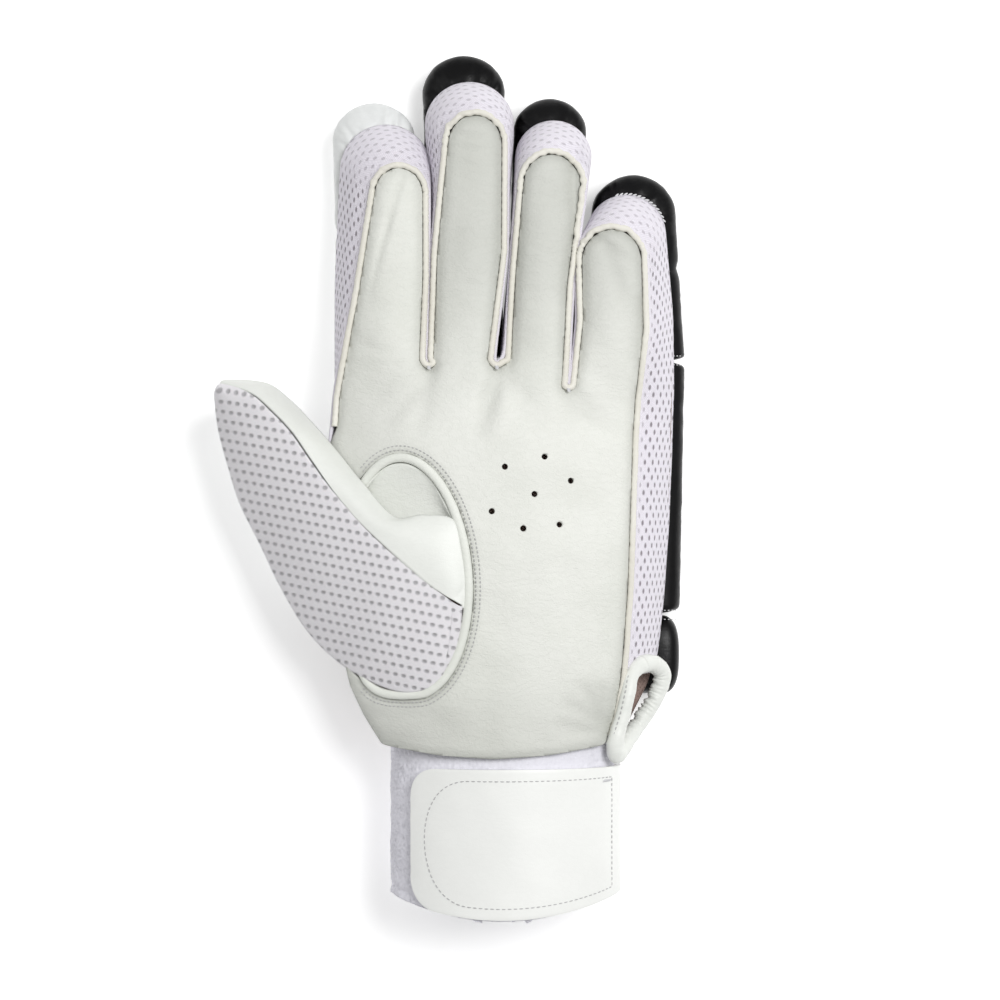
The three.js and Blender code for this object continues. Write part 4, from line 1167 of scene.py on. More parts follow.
@dataclass
class PalmLeather:
    """The soft palm: one leather sheet with rolled-down edges, folds, fine wrinkles and vent holes."""

    pitch: float = 1.05
    edge_drop: float = 0.55
    edge_width: float = 1.5
    wrinkle: float = 0.27
    slack: float = 0.5
    tuck_depth: float = 4.0
    tuck_reach: float = 9.0
    tuck_fade: float = 2.5
    vent_radius: float = 1.0
    vent_core: float = 0.6
    vent_reach: float = 1.9

    def leather_height(self, x: float, y: float) -> float:
        """The leather's upper face with its folds and wrinkles."""
        finger = ease(FINGER_BASE - 8, FINGER_BASE + 14, y)
        cross = ripple(x * 0.11, y * 0.62, 3.0) + 0.6 * ripple(x * 0.2, y * 1.1, 8.0)
        broad = ripple(x * 0.09, y * 0.09, 1.0)
        folds = sum(fold.lift(Vector((x, y))) for fold in PALM_FOLDS)
        return (HAND.palm_height(x, y) + folds * 1.6 + self.wrinkle * (0.3 + 0.7 * finger) * cross
                + self.slack * broad)

    def darkening_and_painted_shade(self, x: float, y: float, away: float) -> float:
        """How much the leather's colour darkens: towards fingertips, wrist and thumb side, and painted shade
        at the rim and fold valleys.
        """
        fingers = 0.5 * ease(FINGER_BASE - 4, FINGER_BASE + 55, y) * ease(-14, 6, x)
        wrist = 0.34 * ease(WRIST_LINE + 34, WRIST_LINE + 2, y)
        side = 0.22 * ease(-12, -34, x) * ease(FINGER_BASE + 12, FINGER_BASE - 12, y)
        # Painted shade beside the rim, where the leather rolls down into the seam, and in the folds' valleys
        rim = 0.35 * math.exp(-(away / 2.0) ** 2)
        valley = 0.24 * max(0.0, -sum(fold.lift(Vector((x, y))) for fold in PALM_FOLDS))
        return clamp(max(fingers, wrist, side) + rim + valley, 0.0, 1.0)

    def tuck(self, work: bmesh.types.BMesh) -> None:
        """Carries the leather on under the thumb's band.

        Args:
            work: The leather's mesh in metres, changed here.
        """
        first = placed(HAND.thumb_point(0.33, 0.261, 0.0)).to_2d()
        last = placed(HAND.thumb_point(0.545, 0.186, 0.0)).to_2d()
        way = (last - first).normalized()
        length = (last - first).length
        lean = Vector((math.sin(THUMB_LEAN), math.cos(THUMB_LEAN), 0.0))
        for vert in work.verts:
            spot = vert.co.to_2d() - first
            along = spot.dot(way)
            away = spot.dot(lean.to_2d())
            if 0 < along < length and away < self.tuck_reach * MM:
                share = clamp(1 - away / (self.tuck_reach * MM), 0.0, 1.0)
                fade = ease(0, self.tuck_fade * MM, along) * ease(length, length - self.tuck_fade * MM, along)
                vert.co -= lean * (self.tuck_depth * MM * share * fade)

    def open_vents(self, work: bmesh.types.BMesh, vents: Sequence[Vector]) -> None:
        """Makes the vent holes round and a little wider.

        Args:
            work: The leather's mesh in metres, changed here.
            vents: The middles of the holes in metres.
        """
        for vent in vents:
            for vert in work.verts:
                gap = vert.co - vent
                away = gap.length / MM
                if 0.1 < away < self.vent_reach:
                    share = clamp((away - self.vent_core) / (self.vent_reach - self.vent_core), 0.0, 1.0)
                    reach = self.vent_radius
                    if not vert.is_boundary:
                        reach = mix(self.vent_radius, self.vent_reach, share)
                    vert.co = vent + gap.normalized() * (max(reach, away) * MM)

    def leather(self) -> bpy.types.Object:
        """The palm sheet."""
        work = top_of_solid("palm", self.pitch)
        vents = [placed((across(a), along * HAND_LENGTH, 0.0)) for a, along in VENTS]
        self.open_vents(work, vents)
        self.tuck(work)
        away = rim_distance(work, vents)
        # Each point stores its darkening and its painted shade for the leather's colour
        shade_and_darkening = work.verts.layers.float.new("shade_and_darkening")
        for vert in work.verts:
            x = vert.co.x / MM - SHIFT_X
            y = vert.co.y / MM - SHIFT_Y
            vert[shade_and_darkening] = self.darkening_and_painted_shade(x, y, away(vert.co))
            drop = self.edge_drop * math.exp(-(away(vert.co) / self.edge_width) ** 2)
            vert.co = placed((x, y, self.leather_height(x, y) - drop))
        piece = finish_piece("palm_skin", work, PALM_FINISH, ["palm"], thickness=LEATHER)
        declare_sheet(piece, 112, 205)
        return piece


@dataclass
class FingerPiping:
    """The rolled leather edge that runs round the fingers and the side of the hand."""

    out: float = 1.05
    half_width: float = 1.0
    half_height: float = 0.9
    sides: int = 12
    step: float = 0.5
    last: float = 0.975

    def path(self) -> list[Vector]:
        """The plan path of the edge."""
        left = HAND.side_edge(LEFT_EDGE, 1, -self.out, 0, 1 / 12, 4)
        right = HAND.side_edge(RIGHT_EDGE, 1, self.out, 0, self.last, 46)
        points = list(reversed(left[1:]))
        for number in range(4):
            points += HAND.finger_edge(PALM_STALLS, number, self.out)
            if number < 3:
                points += HAND.crotch_edge(number, self.out)
        points += right[1:]
        return relaxed(resampled(points, round(path_length(points) / self.step)), 4)

    def tip_share(self, point: Vector) -> float:
        """How near a plan point is to the arch of a fingertip, from 0 to 1."""
        best = 0.0
        for stall in PALM_STALLS:
            half = across(stall.tip_half)
            shoulder = FINGER_BASE + stall.reach * FINGER_REACH - half
            if abs(point.x - across(stall.tip_at)) < half + 4:
                best = max(best, ease(shoulder - 6, shoulder + half * 0.6, point.y))
        return best

    def edge(self) -> bpy.types.Object:
        """The rolled edge, gathered at the fingertips."""
        plan = self.path()
        shares = [self.tip_share(point) for point in plan]
        path = []
        for i, point in enumerate(plan):
            before, after = plan[max(0, i - 1)], plan[min(len(plan) - 1, i + 1)]
            way = (after - before).normalized()
            s = i * self.step
            sway = (0.1 + 0.4 * shares[i]) * ripple(s * (0.4 - 0.06 * shares[i]), 5.0)
            spot = point + Vector((way.y, -way.x)) * sway
            lift = -0.55 + 0.25 * shares[i] * ripple(s * 0.5, 11.0)
            path.append(HAND.on_palm(spot, lift))
        step = self.step

        def section(along: float, angle: float) -> tuple[float, float]:
            """A flattened round that swells and pinches between stitches."""
            i = min(len(shares) - 1, max(0, round(along / step)))
            gather = 0.08 + 0.34 * shares[i]
            swell = 1 + gather * ripple(along * 0.6, 2.0) + 0.05 * math.cos(along * math.tau / 2.6)
            return (self.half_width * swell * math.cos(angle),
                    self.half_height * (2 - swell) * math.sin(angle))

        work = tube(path, self.sides, section)
        return finish_piece("palm_piping", work, PIPING_FINISH, ["palm_welt"])


@dataclass
class FingerWalls:
    """The knitted side walls between the palm's rolled edge and the back."""

    fold_out: float = 2.0
    rows: int = 34
    step: float = 0.8
    plain: float = 2.4
    foot_out: float = 0.7
    foot_drop: float = 1.7
    last: float = 0.8

    def edges(self, number: int) -> tuple[list[Vector], list[Vector]]:
        """The wall's plan edges: under the rolled edge, and at its foot on the back."""
        upper = HAND.finger_edge(PALM_STALLS, number, self.fold_out)
        lower = HAND.finger_edge(BACK_STALLS, number, self.foot_out)
        half = HAND.crotch_steps // 2
        if number > 0:
            fork = HAND.crotch_edge(number - 1, self.fold_out)[half:]
            upper = fork + upper
            lower = fork + lower
        if number < 3:
            fork = HAND.crotch_edge(number, self.fold_out)[:half - 1]
            upper = upper + fork
            lower = lower + fork
        if number == 0:
            upper = list(reversed(HAND.side_edge(LEFT_EDGE, 1, -self.fold_out, 0, 0.14, 6)[1:])) + upper
            lower = list(reversed(HAND.side_edge(LEFT_EDGE, 2, -self.foot_out, 0, 0.14, 6)[1:])) + lower
        if number == 3:
            upper = upper + HAND.side_edge(RIGHT_EDGE, 1, self.fold_out, 0, self.last, 32)[1:]
            lower = lower + HAND.side_edge(RIGHT_EDGE, 2, self.foot_out, 0, self.last, 32)[1:]
        return relaxed(upper, 3), relaxed(lower, 3)

    def paired(self, upper: list[Vector], lower: list[Vector]) -> tuple[list, list, float]:
        """Spaces both edges evenly along their middle line.

        Args:
            upper: The upper edge.
            lower: The foot, point for point.

        Returns:
            Both edges again and the middle line's length.
        """
        middle = [(a + b) / 2 for a, b in zip(upper, lower)]
        lengths = [0.0]
        for a, b in zip(middle, middle[1:]):
            lengths.append(lengths[-1] + (b - a).length)
        count = round(lengths[-1] / self.step)
        new_upper, new_lower = [], []
        i = 0
        for step in range(count + 1):
            want = lengths[-1] * step / count
            while i < len(middle) - 2 and lengths[i + 1] < want:
                i += 1
            t = clamp((want - lengths[i]) / max(lengths[i + 1] - lengths[i], 1e-9), 0.0, 1.0)
            new_upper.append(upper[i].lerp(upper[i + 1], t))
            new_lower.append(lower[i].lerp(lower[i + 1], t))
        return new_upper, new_lower, lengths[-1]

    def wall(self, number: int) -> bpy.types.Object:
        """One finger's wall, with the folded strip beside the rolled edge."""
        upper, lower, length = self.paired(*self.edges(number))
        profiles = []
        for i, (top, foot) in enumerate(zip(upper, lower)):
            way = (upper[min(len(upper) - 1, i + 1)] - upper[max(0, i - 1)]).normalized()
            outward = Vector((-way.y, way.x))
            ground = HAND.palm_height(top.x, top.y)
            low = HAND.panel_height(foot.x, foot.y) - self.foot_drop
            inner = top - outward * 0.7
            shoulder = top + outward * 0.75
            points = [Vector((inner.x, inner.y, ground - 1.8)), Vector((top.x, top.y, ground - 0.75)),
                      Vector((shoulder.x, shoulder.y, ground - 1.7))]
            spread = foot - shoulder
            lean = min(1.0, spread.length / 6)
            for t in (0.25, 0.5, 0.75, 1.0):
                spot = shoulder + spread * t ** (1 - 0.25 * lean)
                swell = 0.8 * lean * math.sin(math.pi * t)
                points.append(Vector((spot.x, spot.y, mix(ground - 1.7, low, t) + swell)))
            curve = [read_smooth(points, step / 36) for step in range(37)]
            profiles.append(resampled(curve, self.rows))
        heights = [path_length(profile) for profile in profiles]
        height = heights[len(heights) // 2]
        count = len(profiles) - 1

        def place(u: float, v: float) -> Vector:
            """The wall's point at a share along and a share down."""
            return profiles[round(u * count)][round(v * self.rows)]

        def cut(u: float, v: float) -> tuple[float, float]:
            """Distances along the wall and down it."""
            return u * length, v * heights[round(u * count)]

        def openness(u: float, v: float) -> float:
            """Closed beside the rolled edge and faint over the fingertip."""
            i = round(u * count)
            tip = ease(-3.0, 3.0, upper[i].y - shoulder_y)
            return ease(self.plain, self.plain + 1.2, v * heights[i]) * mix(1.0, 0.45, tip)

        stall = PALM_STALLS[number]
        shoulder_y = FINGER_BASE + stall.reach * FINGER_REACH - across(stall.tip_half)
        work = mapped_grid(count, self.rows, place, cut, openness=openness)
        bmesh.ops.recalc_face_normals(work, faces=work.faces[:])
        self.face_away(work, Vector((across(PALM_STALLS[number].mid_at), FINGER_BASE + 30, 30)))
        name = f"{FINGERS[number]}_wall"
        piece = finish_piece(name, work, WALL_FINISH, [f"{FINGERS[number]}_mesh"], thickness=KNIT * 0.6)
        declare_sheet(piece, height, length)
        return piece

    def face_away(self, work: bmesh.types.BMesh, centre: Vector) -> None:
        """Turns a wall's faces away from the inside of its finger."""
        middle = placed(centre)
        total = sum((f.calc_center_median() - middle).to_2d().dot(f.normal.to_2d()) * f.calc_area()
                    for f in work.faces)
        if total < 0:
            bmesh.ops.reverse_faces(work, faces=work.faces[:])


class EndForm(Enum):
    """How a roll's end is rounded: length as a share of its width, and squareness."""

    TIP = (0.46, 2.0)
    JOINT = (0.1, 3.4)
    CORNER = (0.26, 2.9)

    def opening(self, near: float) -> float:
        """The share of the full width at a share of the end's length."""
        power = self.value[1]
        return (1 - (1 - clamp(near, 0.0, 1.0)) ** power) ** (1 / power)


@dataclass
class StuffedRoll:
    """One stuffed roll on the back: a leather case filled with foam, closed at both ends."""

    name: str
    node: str
    start: tuple[float, float]
    end: tuple[float, float]
    widths: tuple[float, float]
    finish: LeatherFinish
    tops: tuple[float, float] = (ROLL_DEPTH, ROLL_DEPTH)
    depth: float = ROLL_DEPTH
    creases: tuple[float, ...] = ()
    stall: Stall | None = None
    start_form: EndForm = EndForm.TIP
    end_form: EndForm = EndForm.TIP
    around: int = 72
    step: float = 0.65
    seed: float = 0.0

    def gathers(self, x: float, y: float, level: float) -> float:
        """Height of the gathers that run out from the fingertip's seam, at a plan point."""
        if self.stall is None:
            return 0.0
        half = across(self.stall.tip_half)
        centre = across(self.stall.tip_at)
        shoulder = FINGER_BASE + self.stall.reach * FINGER_REACH - half
        if y > shoulder:
            angle = math.atan2(x - centre, y - shoulder)
            arc = angle * half
            away = math.hypot(x - centre, y - shoulder) - half
        else:
            side = 1 if x > centre else -1
            arc = side * (half * math.pi / 2 + shoulder - y)
            away = abs(x - centre) - half
        fade = math.exp(-max(away, 0.0) / 7.0) * ease(0.2, 0.8, level)
        fade *= ease(shoulder - 30, shoulder - 4, y)
        ridge = 0.6 - 3.2 * abs(ripple(arc * 0.3, away * 0.05, self.seed))
        return fade * (ridge + 0.8 * ripple(arc * 0.9, away * 0.1, self.seed + 4))

    def body(self) -> bpy.types.Object:
        """The roll as one closed, softly wrinkled body."""
        start, end = Vector(self.start), Vector(self.end)
        length = (end - start).length
        way = (end - start) / length
        side = Vector((way.y, -way.x))
        narrow = min(self.widths[0], length)
        steps = max(24, round(length / self.step))

        def place(u: float, v: float) -> Vector:
            """The case's point at a share along and a share around."""
            even = mix(u, 0.5 - 0.5 * math.cos(math.pi * u), 0.5)
            s = length * (0.5 - 0.5 * math.cos(math.pi * even))
            open_up = min(self.start_form.opening(s / (self.start_form.value[0] * narrow)),
                          self.end_form.opening((length - s) / (self.end_form.value[0] * narrow)))
            half = mix(self.widths[0], self.widths[1], s / length) / 2 * open_up
            pinch = sum(math.exp(-((s - share * length) / 1.8) ** 2) for share in self.creases)
            half *= 1 - 0.05 * pinch
            angle = v * math.tau
            c, n = math.cos(angle), math.sin(angle)
            wide = math.copysign(abs(c) ** 0.72, c) * half
            level = math.copysign(abs(n) ** (0.62 if n > 0 else 0.8), n)
            top = mix(self.tops[0], self.tops[1], s / length)
            middle = top - self.depth * 0.42
            reach = self.depth * (0.42 if level > 0 else 0.58)
            deep = mix(0.25, 1.0, open_up) * (1 - 0.1 * pinch)
            spot = start + way * s + side * wide
            z = middle + level * reach * (deep if open_up > 0 else 0.0)
            z += self.gathers(spot.x, spot.y, level) * (1 if level > 0 else 0)
            soft = 0.25 * ripple(spot.x * 0.16, spot.y * 0.16, z * 0.16 + self.seed)
            soft += 0.12 * ripple(spot.x * 0.5, spot.y * 0.5, z * 0.3 + self.seed)
            return Vector((spot.x, spot.y, z)) + Vector((side.x * c, side.y * c, 0.0)) * soft

        work = mapped_grid(steps, self.around, place, even_cut(length, 60.0), closed=True)
        face_out(work)
        piece = finish_piece(self.name, work, self.finish, [self.node])
        return piece


@dataclass
class BackOfHand:
    """Everything on the back: the panel and its stuffed rolls."""

    def panel(self) -> bpy.types.Object:
        """The brushed inner face of the back."""
        work = top_of_solid("back_panel", 1.9)
        for vert in work.verts:
            x = vert.co.x / MM - SHIFT_X
            y = vert.co.y / MM - SHIFT_Y
            vert.co = placed((x, y, HAND.panel_height(x, y) + 0.15 * ripple(x * 0.2, y * 0.2)))
        piece = finish_piece("back_lining", work, LINING_FINISH, ["back_panel"], thickness=1.8)
        declare_sheet(piece, 116, 226)
        return piece

    def rolls(self) -> None:
        """The finger rolls, the hand rolls and the wrist roll."""
        for number, row in enumerate(ROLL_ROWS):
            tip_at, tip_width, knee_at, knee_width, wrist_at, wrist_width, top = row
            finger = FINGERS[number]
            finish = PAD_FINISH if number == 0 else BLACK_FINISH
            StuffedRoll(
                f"{finger}_pad", f"{finger}_roll", (across(tip_at), FINGER_BASE + top * FINGER_REACH),
                (across(knee_at), KNEE_LINE + KNEE_SEAT), (across(tip_width), across(knee_width)), finish,
                creases=(0.5,), stall=BACK_STALLS[number], end_form=EndForm.JOINT, seed=number * 7.0).body()
            StuffedRoll(
                f"{finger}_hand_pad", f"{finger}_hand_roll", (across(knee_at), KNEE_LINE - KNEE_SEAT),
                (across(wrist_at), HAND_ROLL_END - HAND_ROLL_LAP), (across(knee_width), across(wrist_width)),
                finish, start_form=EndForm.JOINT, end_form=EndForm.JOINT, seed=number * 7.0 + 3).body()
        StuffedRoll(
            "wrist_pad", "wrist_roll", (across(-0.33), WRIST_ROLL_LINE + WRIST_ROLL_RISE),
            (across(0.775), WRIST_ROLL_LINE + WRIST_ROLL_RISE), (26.4, 26.4), BLACK_FINISH, creases=(0.5,),
            start_form=EndForm.CORNER, end_form=EndForm.CORNER, seed=40.0).body()


@dataclass
class Thumb:
    """The thumb: knitted panel, leather band, back, soft patch, welt and its rolls."""

    clear: float = -1.5
    part: float = 0.006
    seat: float = -0.5
    band_swell: float = 1.8
    knit_turn: float = 12.0
    rim_from: float = -47.0
    rim_to: float = 231.0

    def lines(self) -> tuple[list[Vector], list[Vector], list[Vector], list[Vector]]:
        """The left edge, both sides of the seam, and the band's far edge."""
        left = [HAND.thumb_point(r[0], r[1], r[2]) for r in THUMB_ROWS]
        low = [HAND.thumb_point(r[3], r[4] - self.part, r[5]) for r in THUMB_ROWS]
        high = [HAND.thumb_point(r[3], r[4] + self.part, r[5]) for r in THUMB_ROWS]
        side = [HAND.thumb_point(r[6], r[7], r[8]) for r in THUMB_ROWS]
        for left_turn, side_turn, along, seam, level in THUMB_END_ROWS:
            left.append(HAND.on_palm(HAND.hole_point(left_turn, self.clear), self.seat))
            low.append(HAND.thumb_point(along, seam - self.part, level))
            high.append(HAND.thumb_point(along, seam + self.part, level))
            side.append(HAND.on_palm(HAND.hole_point(side_turn, self.clear), self.seat))
        return left, low, high, side

    def sheet_point(self, edges: tuple[list[Vector], list[Vector]], u: float, v: float, rise: float,
                    fullness: float) -> Vector:
        """A point of a sheet between two edges, raised between them."""
        a, b = read_smooth(edges[0], v), read_smooth(edges[1], v)
        arch = max(0.0, math.sin(math.pi * u)) ** fullness
        return a.lerp(b, u) + Vector((0, 0, rise * arch))

    def ruled(
        self, name: str, node: str, edges: tuple[list[Vector], list[Vector]], swell: Callable[[float], float],
        fullness: float, finish: Finish, size: tuple[float, float], steps: tuple[int, int], thickness: float,
    ) -> bpy.types.Object:
        """A sheet between two edges.

        Args:
            name: The piece.
            node: The solid that it stands for.
            edges: Both edges.
            swell: Its fullness in millimetres for the share along.
            fullness: Power of the arch across it, lower for a squarer arch.
            finish: Its finish.
            size: The cut's width and length in millimetres.
            steps: Steps across and along.
            thickness: Of the material.

        Returns:
            The new object.
        """
        work = mapped_grid(
            steps[0], steps[1], lambda u, v: self.sheet_point(edges, u, v, swell(v), fullness),
            even_cut(*size))
        cut_from_plan(work, self.knit_turn)
        face_up(work)
        piece = finish_piece(name, work, finish, [node], thickness=thickness)
        declare_sheet(piece, size[0], size[1])
        return piece

    def fullness_along(self, size: float) -> Callable[[float], float]:
        """Fullness for the share along the thumb."""
        return lambda t: size * math.sin(math.pi * min(1.0, t * 1.1 + 0.02)) ** 0.7

    def band_point(self, u: float, v: float, lift: float) -> Vector:
        """A point of the band at a share across it and a share along it."""
        edges = self.lines()[2:]
        point = self.sheet_point(edges, u, v, self.fullness_along(self.band_swell)(v), 1.0)
        return point + Vector((0, 0, lift))

    def panels(self) -> dict[str, bpy.types.Object]:
        """The knitted panel, the band, the back and the patch."""
        left, low, high, side = self.lines()
        made = {}
        made["mesh"] = self.ruled("thumb_knit", "thumb_mesh", (left, low), self.fullness_along(4.5), 0.8,
                                  MESH_FINISH, (40.0, 118.0), (90, 200), KNIT)
        made["band"] = self.ruled("thumb_leather_band", "thumb_band", (high, side),
                                  self.fullness_along(self.band_swell), 1.0, WHITE_FINISH, (16.0, 110.0),
                                  (24, 160), LEATHER)
        under = 7
        back_left = [p - Vector((0, 0, KNIT + GAP)) for p in left[:under]]
        back_side = [p - Vector((0, 0, LEATHER + GAP)) for p in side[:under]]
        made["back"] = self.ruled(
            "thumb_leather_back", "thumb_back", (back_left, back_side),
            lambda t: -8 * math.sin(math.pi * min(1.0, 0.1 + t * 0.55)), 0.6, PAD_FINISH,
            (34.0, 60.0), (30, 60), LEATHER)
        outer = [HAND.on_palm(HAND.hole_point(r[0], self.clear - GAP), self.seat) for r in PATCH_ROWS]
        inner = [HAND.thumb_point(r[1], r[2], r[3]) for r in PATCH_ROWS]
        made["patch"] = self.ruled("thumb_soft_patch", "thumb_patch", (outer, inner), lambda t: -1.2, 1.0,
                                   PATCH_FINISH, (16.0, 50.0), (30, 60), LEATHER)
        return made

    def rim(self) -> bpy.types.Object:
        """The rolled edge round the thumb hole."""
        path = []
        for i in range(241):
            turn = mix(self.rim_from, self.rim_to, i / 240)
            tucked = 1 - ease(self.rim_from, self.rim_from + 13, turn)
            tucked += ease(self.rim_to - 9, self.rim_to, turn)
            path.append(HAND.on_palm(HAND.hole_point(turn, 0), -1.9 * tucked))

        def section(along: float, angle: float) -> tuple[float, float]:
            """A flattened round with soft waves."""
            swell = 1 + 0.05 * ripple(along * 0.35, 4.0)
            return 1.5 * swell * math.cos(angle), 1.1 * swell * math.sin(angle)

        work = tube(path, 14, section)
        return finish_piece("thumb_rim", work, WELT_FINISH, ["thumb_welt"])

    def rolls(self) -> None:
        """The two stuffed rolls on the back of the thumb."""
        def spot(along: float, out: float) -> tuple[float, float]:
            """A plan point of the thumb's frame."""
            point = HAND.thumb_point(along, out, 0)
            return point.x, point.y

        def seat(level: float) -> float:
            """A height of the thumb's frame."""
            return THUMB_MIDDLE + level * THUMB_DEPTH

        StuffedRoll("thumb_tip_pad", "thumb_tip_roll", spot(0.02, -0.01), spot(0.345, -0.22), (15.0, 22.0),
                    PAD_FINISH, tops=(seat(-0.385), seat(-0.51)), depth=15.0, seed=50.0).body()
        StuffedRoll("thumb_base_pad", "thumb_base_roll", spot(0.365, -0.33), spot(0.62, -0.625),
                    (18.0, 18.0), PAD_FINISH, tops=(seat(-0.515), seat(-0.47)), depth=15.0,
                    seed=53.0).body()


@dataclass
class Wrist:
    """The towelling wristband and the leather closing strap round it."""

    band_top: float = WRIST_LINE + 2
    strap_top: float = WRIST_LINE - 7.5
    strap_from: float = math.radians(140)
    strap_to: float = math.radians(-100)
    strap_thickness: float = 2.0
    fold_turn: float = math.radians(24)

    def around(self, angle: float, out: float) -> tuple[float, float]:
        """The x and z of the wrist's oval at an angle."""
        return (WRIST_X + math.cos(angle) * (WRIST_WIDTH / 2 + out),
                WRIST_CENTRE + math.sin(angle) * (WRIST_DEPTH / 2 + out))

    def hang(self, angle: float) -> float:
        """How much lower the band hangs on the palm side."""
        return FRONT_HANG * max(0.0, math.sin(angle)) ** 2

    def band(self) -> bpy.types.Object:
        """The towelling band."""
        def place(u: float, v: float) -> Vector:
            """A point of the band's outer face."""
            angle = u * math.tau
            lump = 0.4 * ripple(math.cos(angle) * 5, math.sin(angle) * 5, v * 8)
            fine = 0.42 * ripple(angle * 44, v * 58, 2.0) + 0.3 * ripple(angle * 90, v * 120, 5.0)
            hem = 0.5 * math.exp(-((v - 0.95) / 0.02) ** 2)
            x, z = self.around(angle, lump + fine - hem)
            return Vector((x, self.band_top - v * BAND_LENGTH - self.hang(angle) * v, z))

        work = mapped_grid(380, 118, place, even_cut(190.0, BAND_LENGTH), closed=True)
        bmesh.ops.recalc_face_normals(work, faces=work.faces[:])
        middle = placed((WRIST_X, WRIST_LINE, WRIST_CENTRE))
        outward = sum((f.calc_center_median() - middle).dot(f.normal) for f in work.faces)
        if outward < 0:
            bmesh.ops.reverse_faces(work, faces=work.faces[:])
        piece = finish_piece("wrist_towelling", work, TERRY_FINISH, ["wristband"], thickness=2.8)
        declare_sheet(piece, 58, 200)
        return piece

    def strap_point(self, u: float, v: float, out: float) -> Vector:
        """A point of the strap's outer face at a share round it and a share across it."""
        angle = mix(self.strap_from, self.strap_to, u ** 1.3)
        x, z = self.around(angle, GAP + self.strap_thickness + out)
        past = min(1.0, (self.strap_from - angle) * WRIST_WIDTH / 2 / STRAP_CORNER)
        cut = STRAP_CORNER * (1 - math.sqrt(max(0.0, 1 - (1 - past) ** 2))) * 0.9
        high = self.strap_top - cut
        low = self.strap_top - STRAP_LENGTH - self.hang(angle) + cut
        return Vector((x, mix(high, low, v), z))

    def share_at(self, angle: float) -> float:
        """The share round the strap at an angle."""
        return ((self.strap_from - angle) / (self.strap_from - self.strap_to)) ** (1 / 1.3)

    def strap(self) -> bpy.types.Object:
        """The leather strap."""
        work = mapped_grid(150, 40, lambda u, v: self.strap_point(u, v, 0.12 * ripple(u * 14, v * 5)),
                           even_cut(150.0, STRAP_LENGTH))
        bmesh.ops.recalc_face_normals(work, faces=work.faces[:])
        middle = placed((WRIST_X, WRIST_LINE, WRIST_CENTRE))
        outward = sum((f.calc_center_median() - middle).dot(f.normal) for f in work.faces)
        if outward < 0:
            bmesh.ops.reverse_faces(work, faces=work.faces[:])
        piece = finish_piece("closing_strap", work, STRAP_FINISH, ["strap"],
                             thickness=self.strap_thickness, soft_edge=0.45)
        declare_sheet(piece, 50, 150)
        return piece


@dataclass
class SideSlit:
    """The gathered leather binding of the slit at the side of the wrist, and the gusset across from it."""

    binding_radius: float = 3.1
    thread_out: float = 1.9
    thread_side: float = 1.1

    def path(self) -> list[Vector]:
        """The binding's closed line."""
        points = [Vector((across(r[0]), FINGER_BASE - r[1] * HAND_LENGTH, PANEL_TOP + r[2] * PALM_DEPTH))
                  for r in SLIT_ROWS]
        count = len(points)
        curve = []
        for i in range(count):
            p = [points[(i + k - 1) % count] for k in range(4)]
            for j in range(16):
                f = j / 16
                curve.append((p[1] * 2 + (p[2] - p[0]) * f + (p[0] * 2 - p[1] * 5 + p[2] * 4 - p[3]) * f * f
                              + (p[1] * 3 - p[0] - p[2] * 3 + p[3]) * f ** 3) * 0.5)
        return resampled(curve, 300, closed=True)

    def binding(self) -> bpy.types.Object:
        """The gathered leather tube."""
        def section(along: float, angle: float) -> tuple[float, float]:
            """A round that is pinched by gathers."""
            share = along / total
            bend = ease(0.06, 0.14, share) * ease(0.5, 0.36, share)
            inner = (1 - math.cos(angle)) / 2
            gather = 0.35 * abs(ripple(along * 0.3, math.cos(angle) * 0.5, math.sin(angle) * 0.5))
            gather += (0.1 + 1.5 * bend) * inner * abs(ripple(along * 0.75, math.cos(angle) * 0.3, 9.0))
            flat = ease(0.6, 0.72, share) * ease(1.0, 0.92, share)
            size = self.binding_radius - gather
            return size * mix(1.0, 0.8, flat) * math.cos(angle), size * mix(0.92, 0.6, flat) * math.sin(angle)

        ring = self.path()
        total = path_length(ring)
        work = tube(ring, 28, section, closed=True)
        return finish_piece("slit_edge", work, WHITE_FINISH, ["slit_binding"])

    def strip_line(self) -> list[Vector]:
        """The stitched line along the slit's flat left side."""
        ring = self.path()
        part = ring[round(len(ring) * 0.66):round(len(ring) * 0.95)]
        return [Vector((p.x - self.thread_side, p.y, p.z + self.thread_out)) for p in part]

    def gusset(self) -> bpy.types.Object:
        """The small knitted wall at the thumb side of the wrist."""
        top = [HAND.on_palm(p, -LEATHER - GAP - 1.0)
               for p in HAND.side_edge(LEFT_EDGE, 1, 1, 0.79, 0.98, 10)]
        foot = [Vector((p.x, p.y, HAND.panel_height(p.x, p.y) + GAP + 0.3))
                for p in HAND.side_edge(LEFT_EDGE, 2, KNIT, 0.79, 0.98, 10)]
        work = mapped_grid(24, 20, lambda u, v: read_smooth(top, u).lerp(read_smooth(foot, u), v),
                           even_cut(24.0, 26.0))
        bmesh.ops.recalc_face_normals(work, faces=work.faces[:])
        if sum(f.normal.x for f in work.faces) > 0:
            bmesh.ops.reverse_faces(work, faces=work.faces[:])
        piece = finish_piece("thumb_side_gusset", work, WALL_FINISH, ["side_gusset"], thickness=KNIT)
        declare_sheet(piece, 25, 27)
        return piece


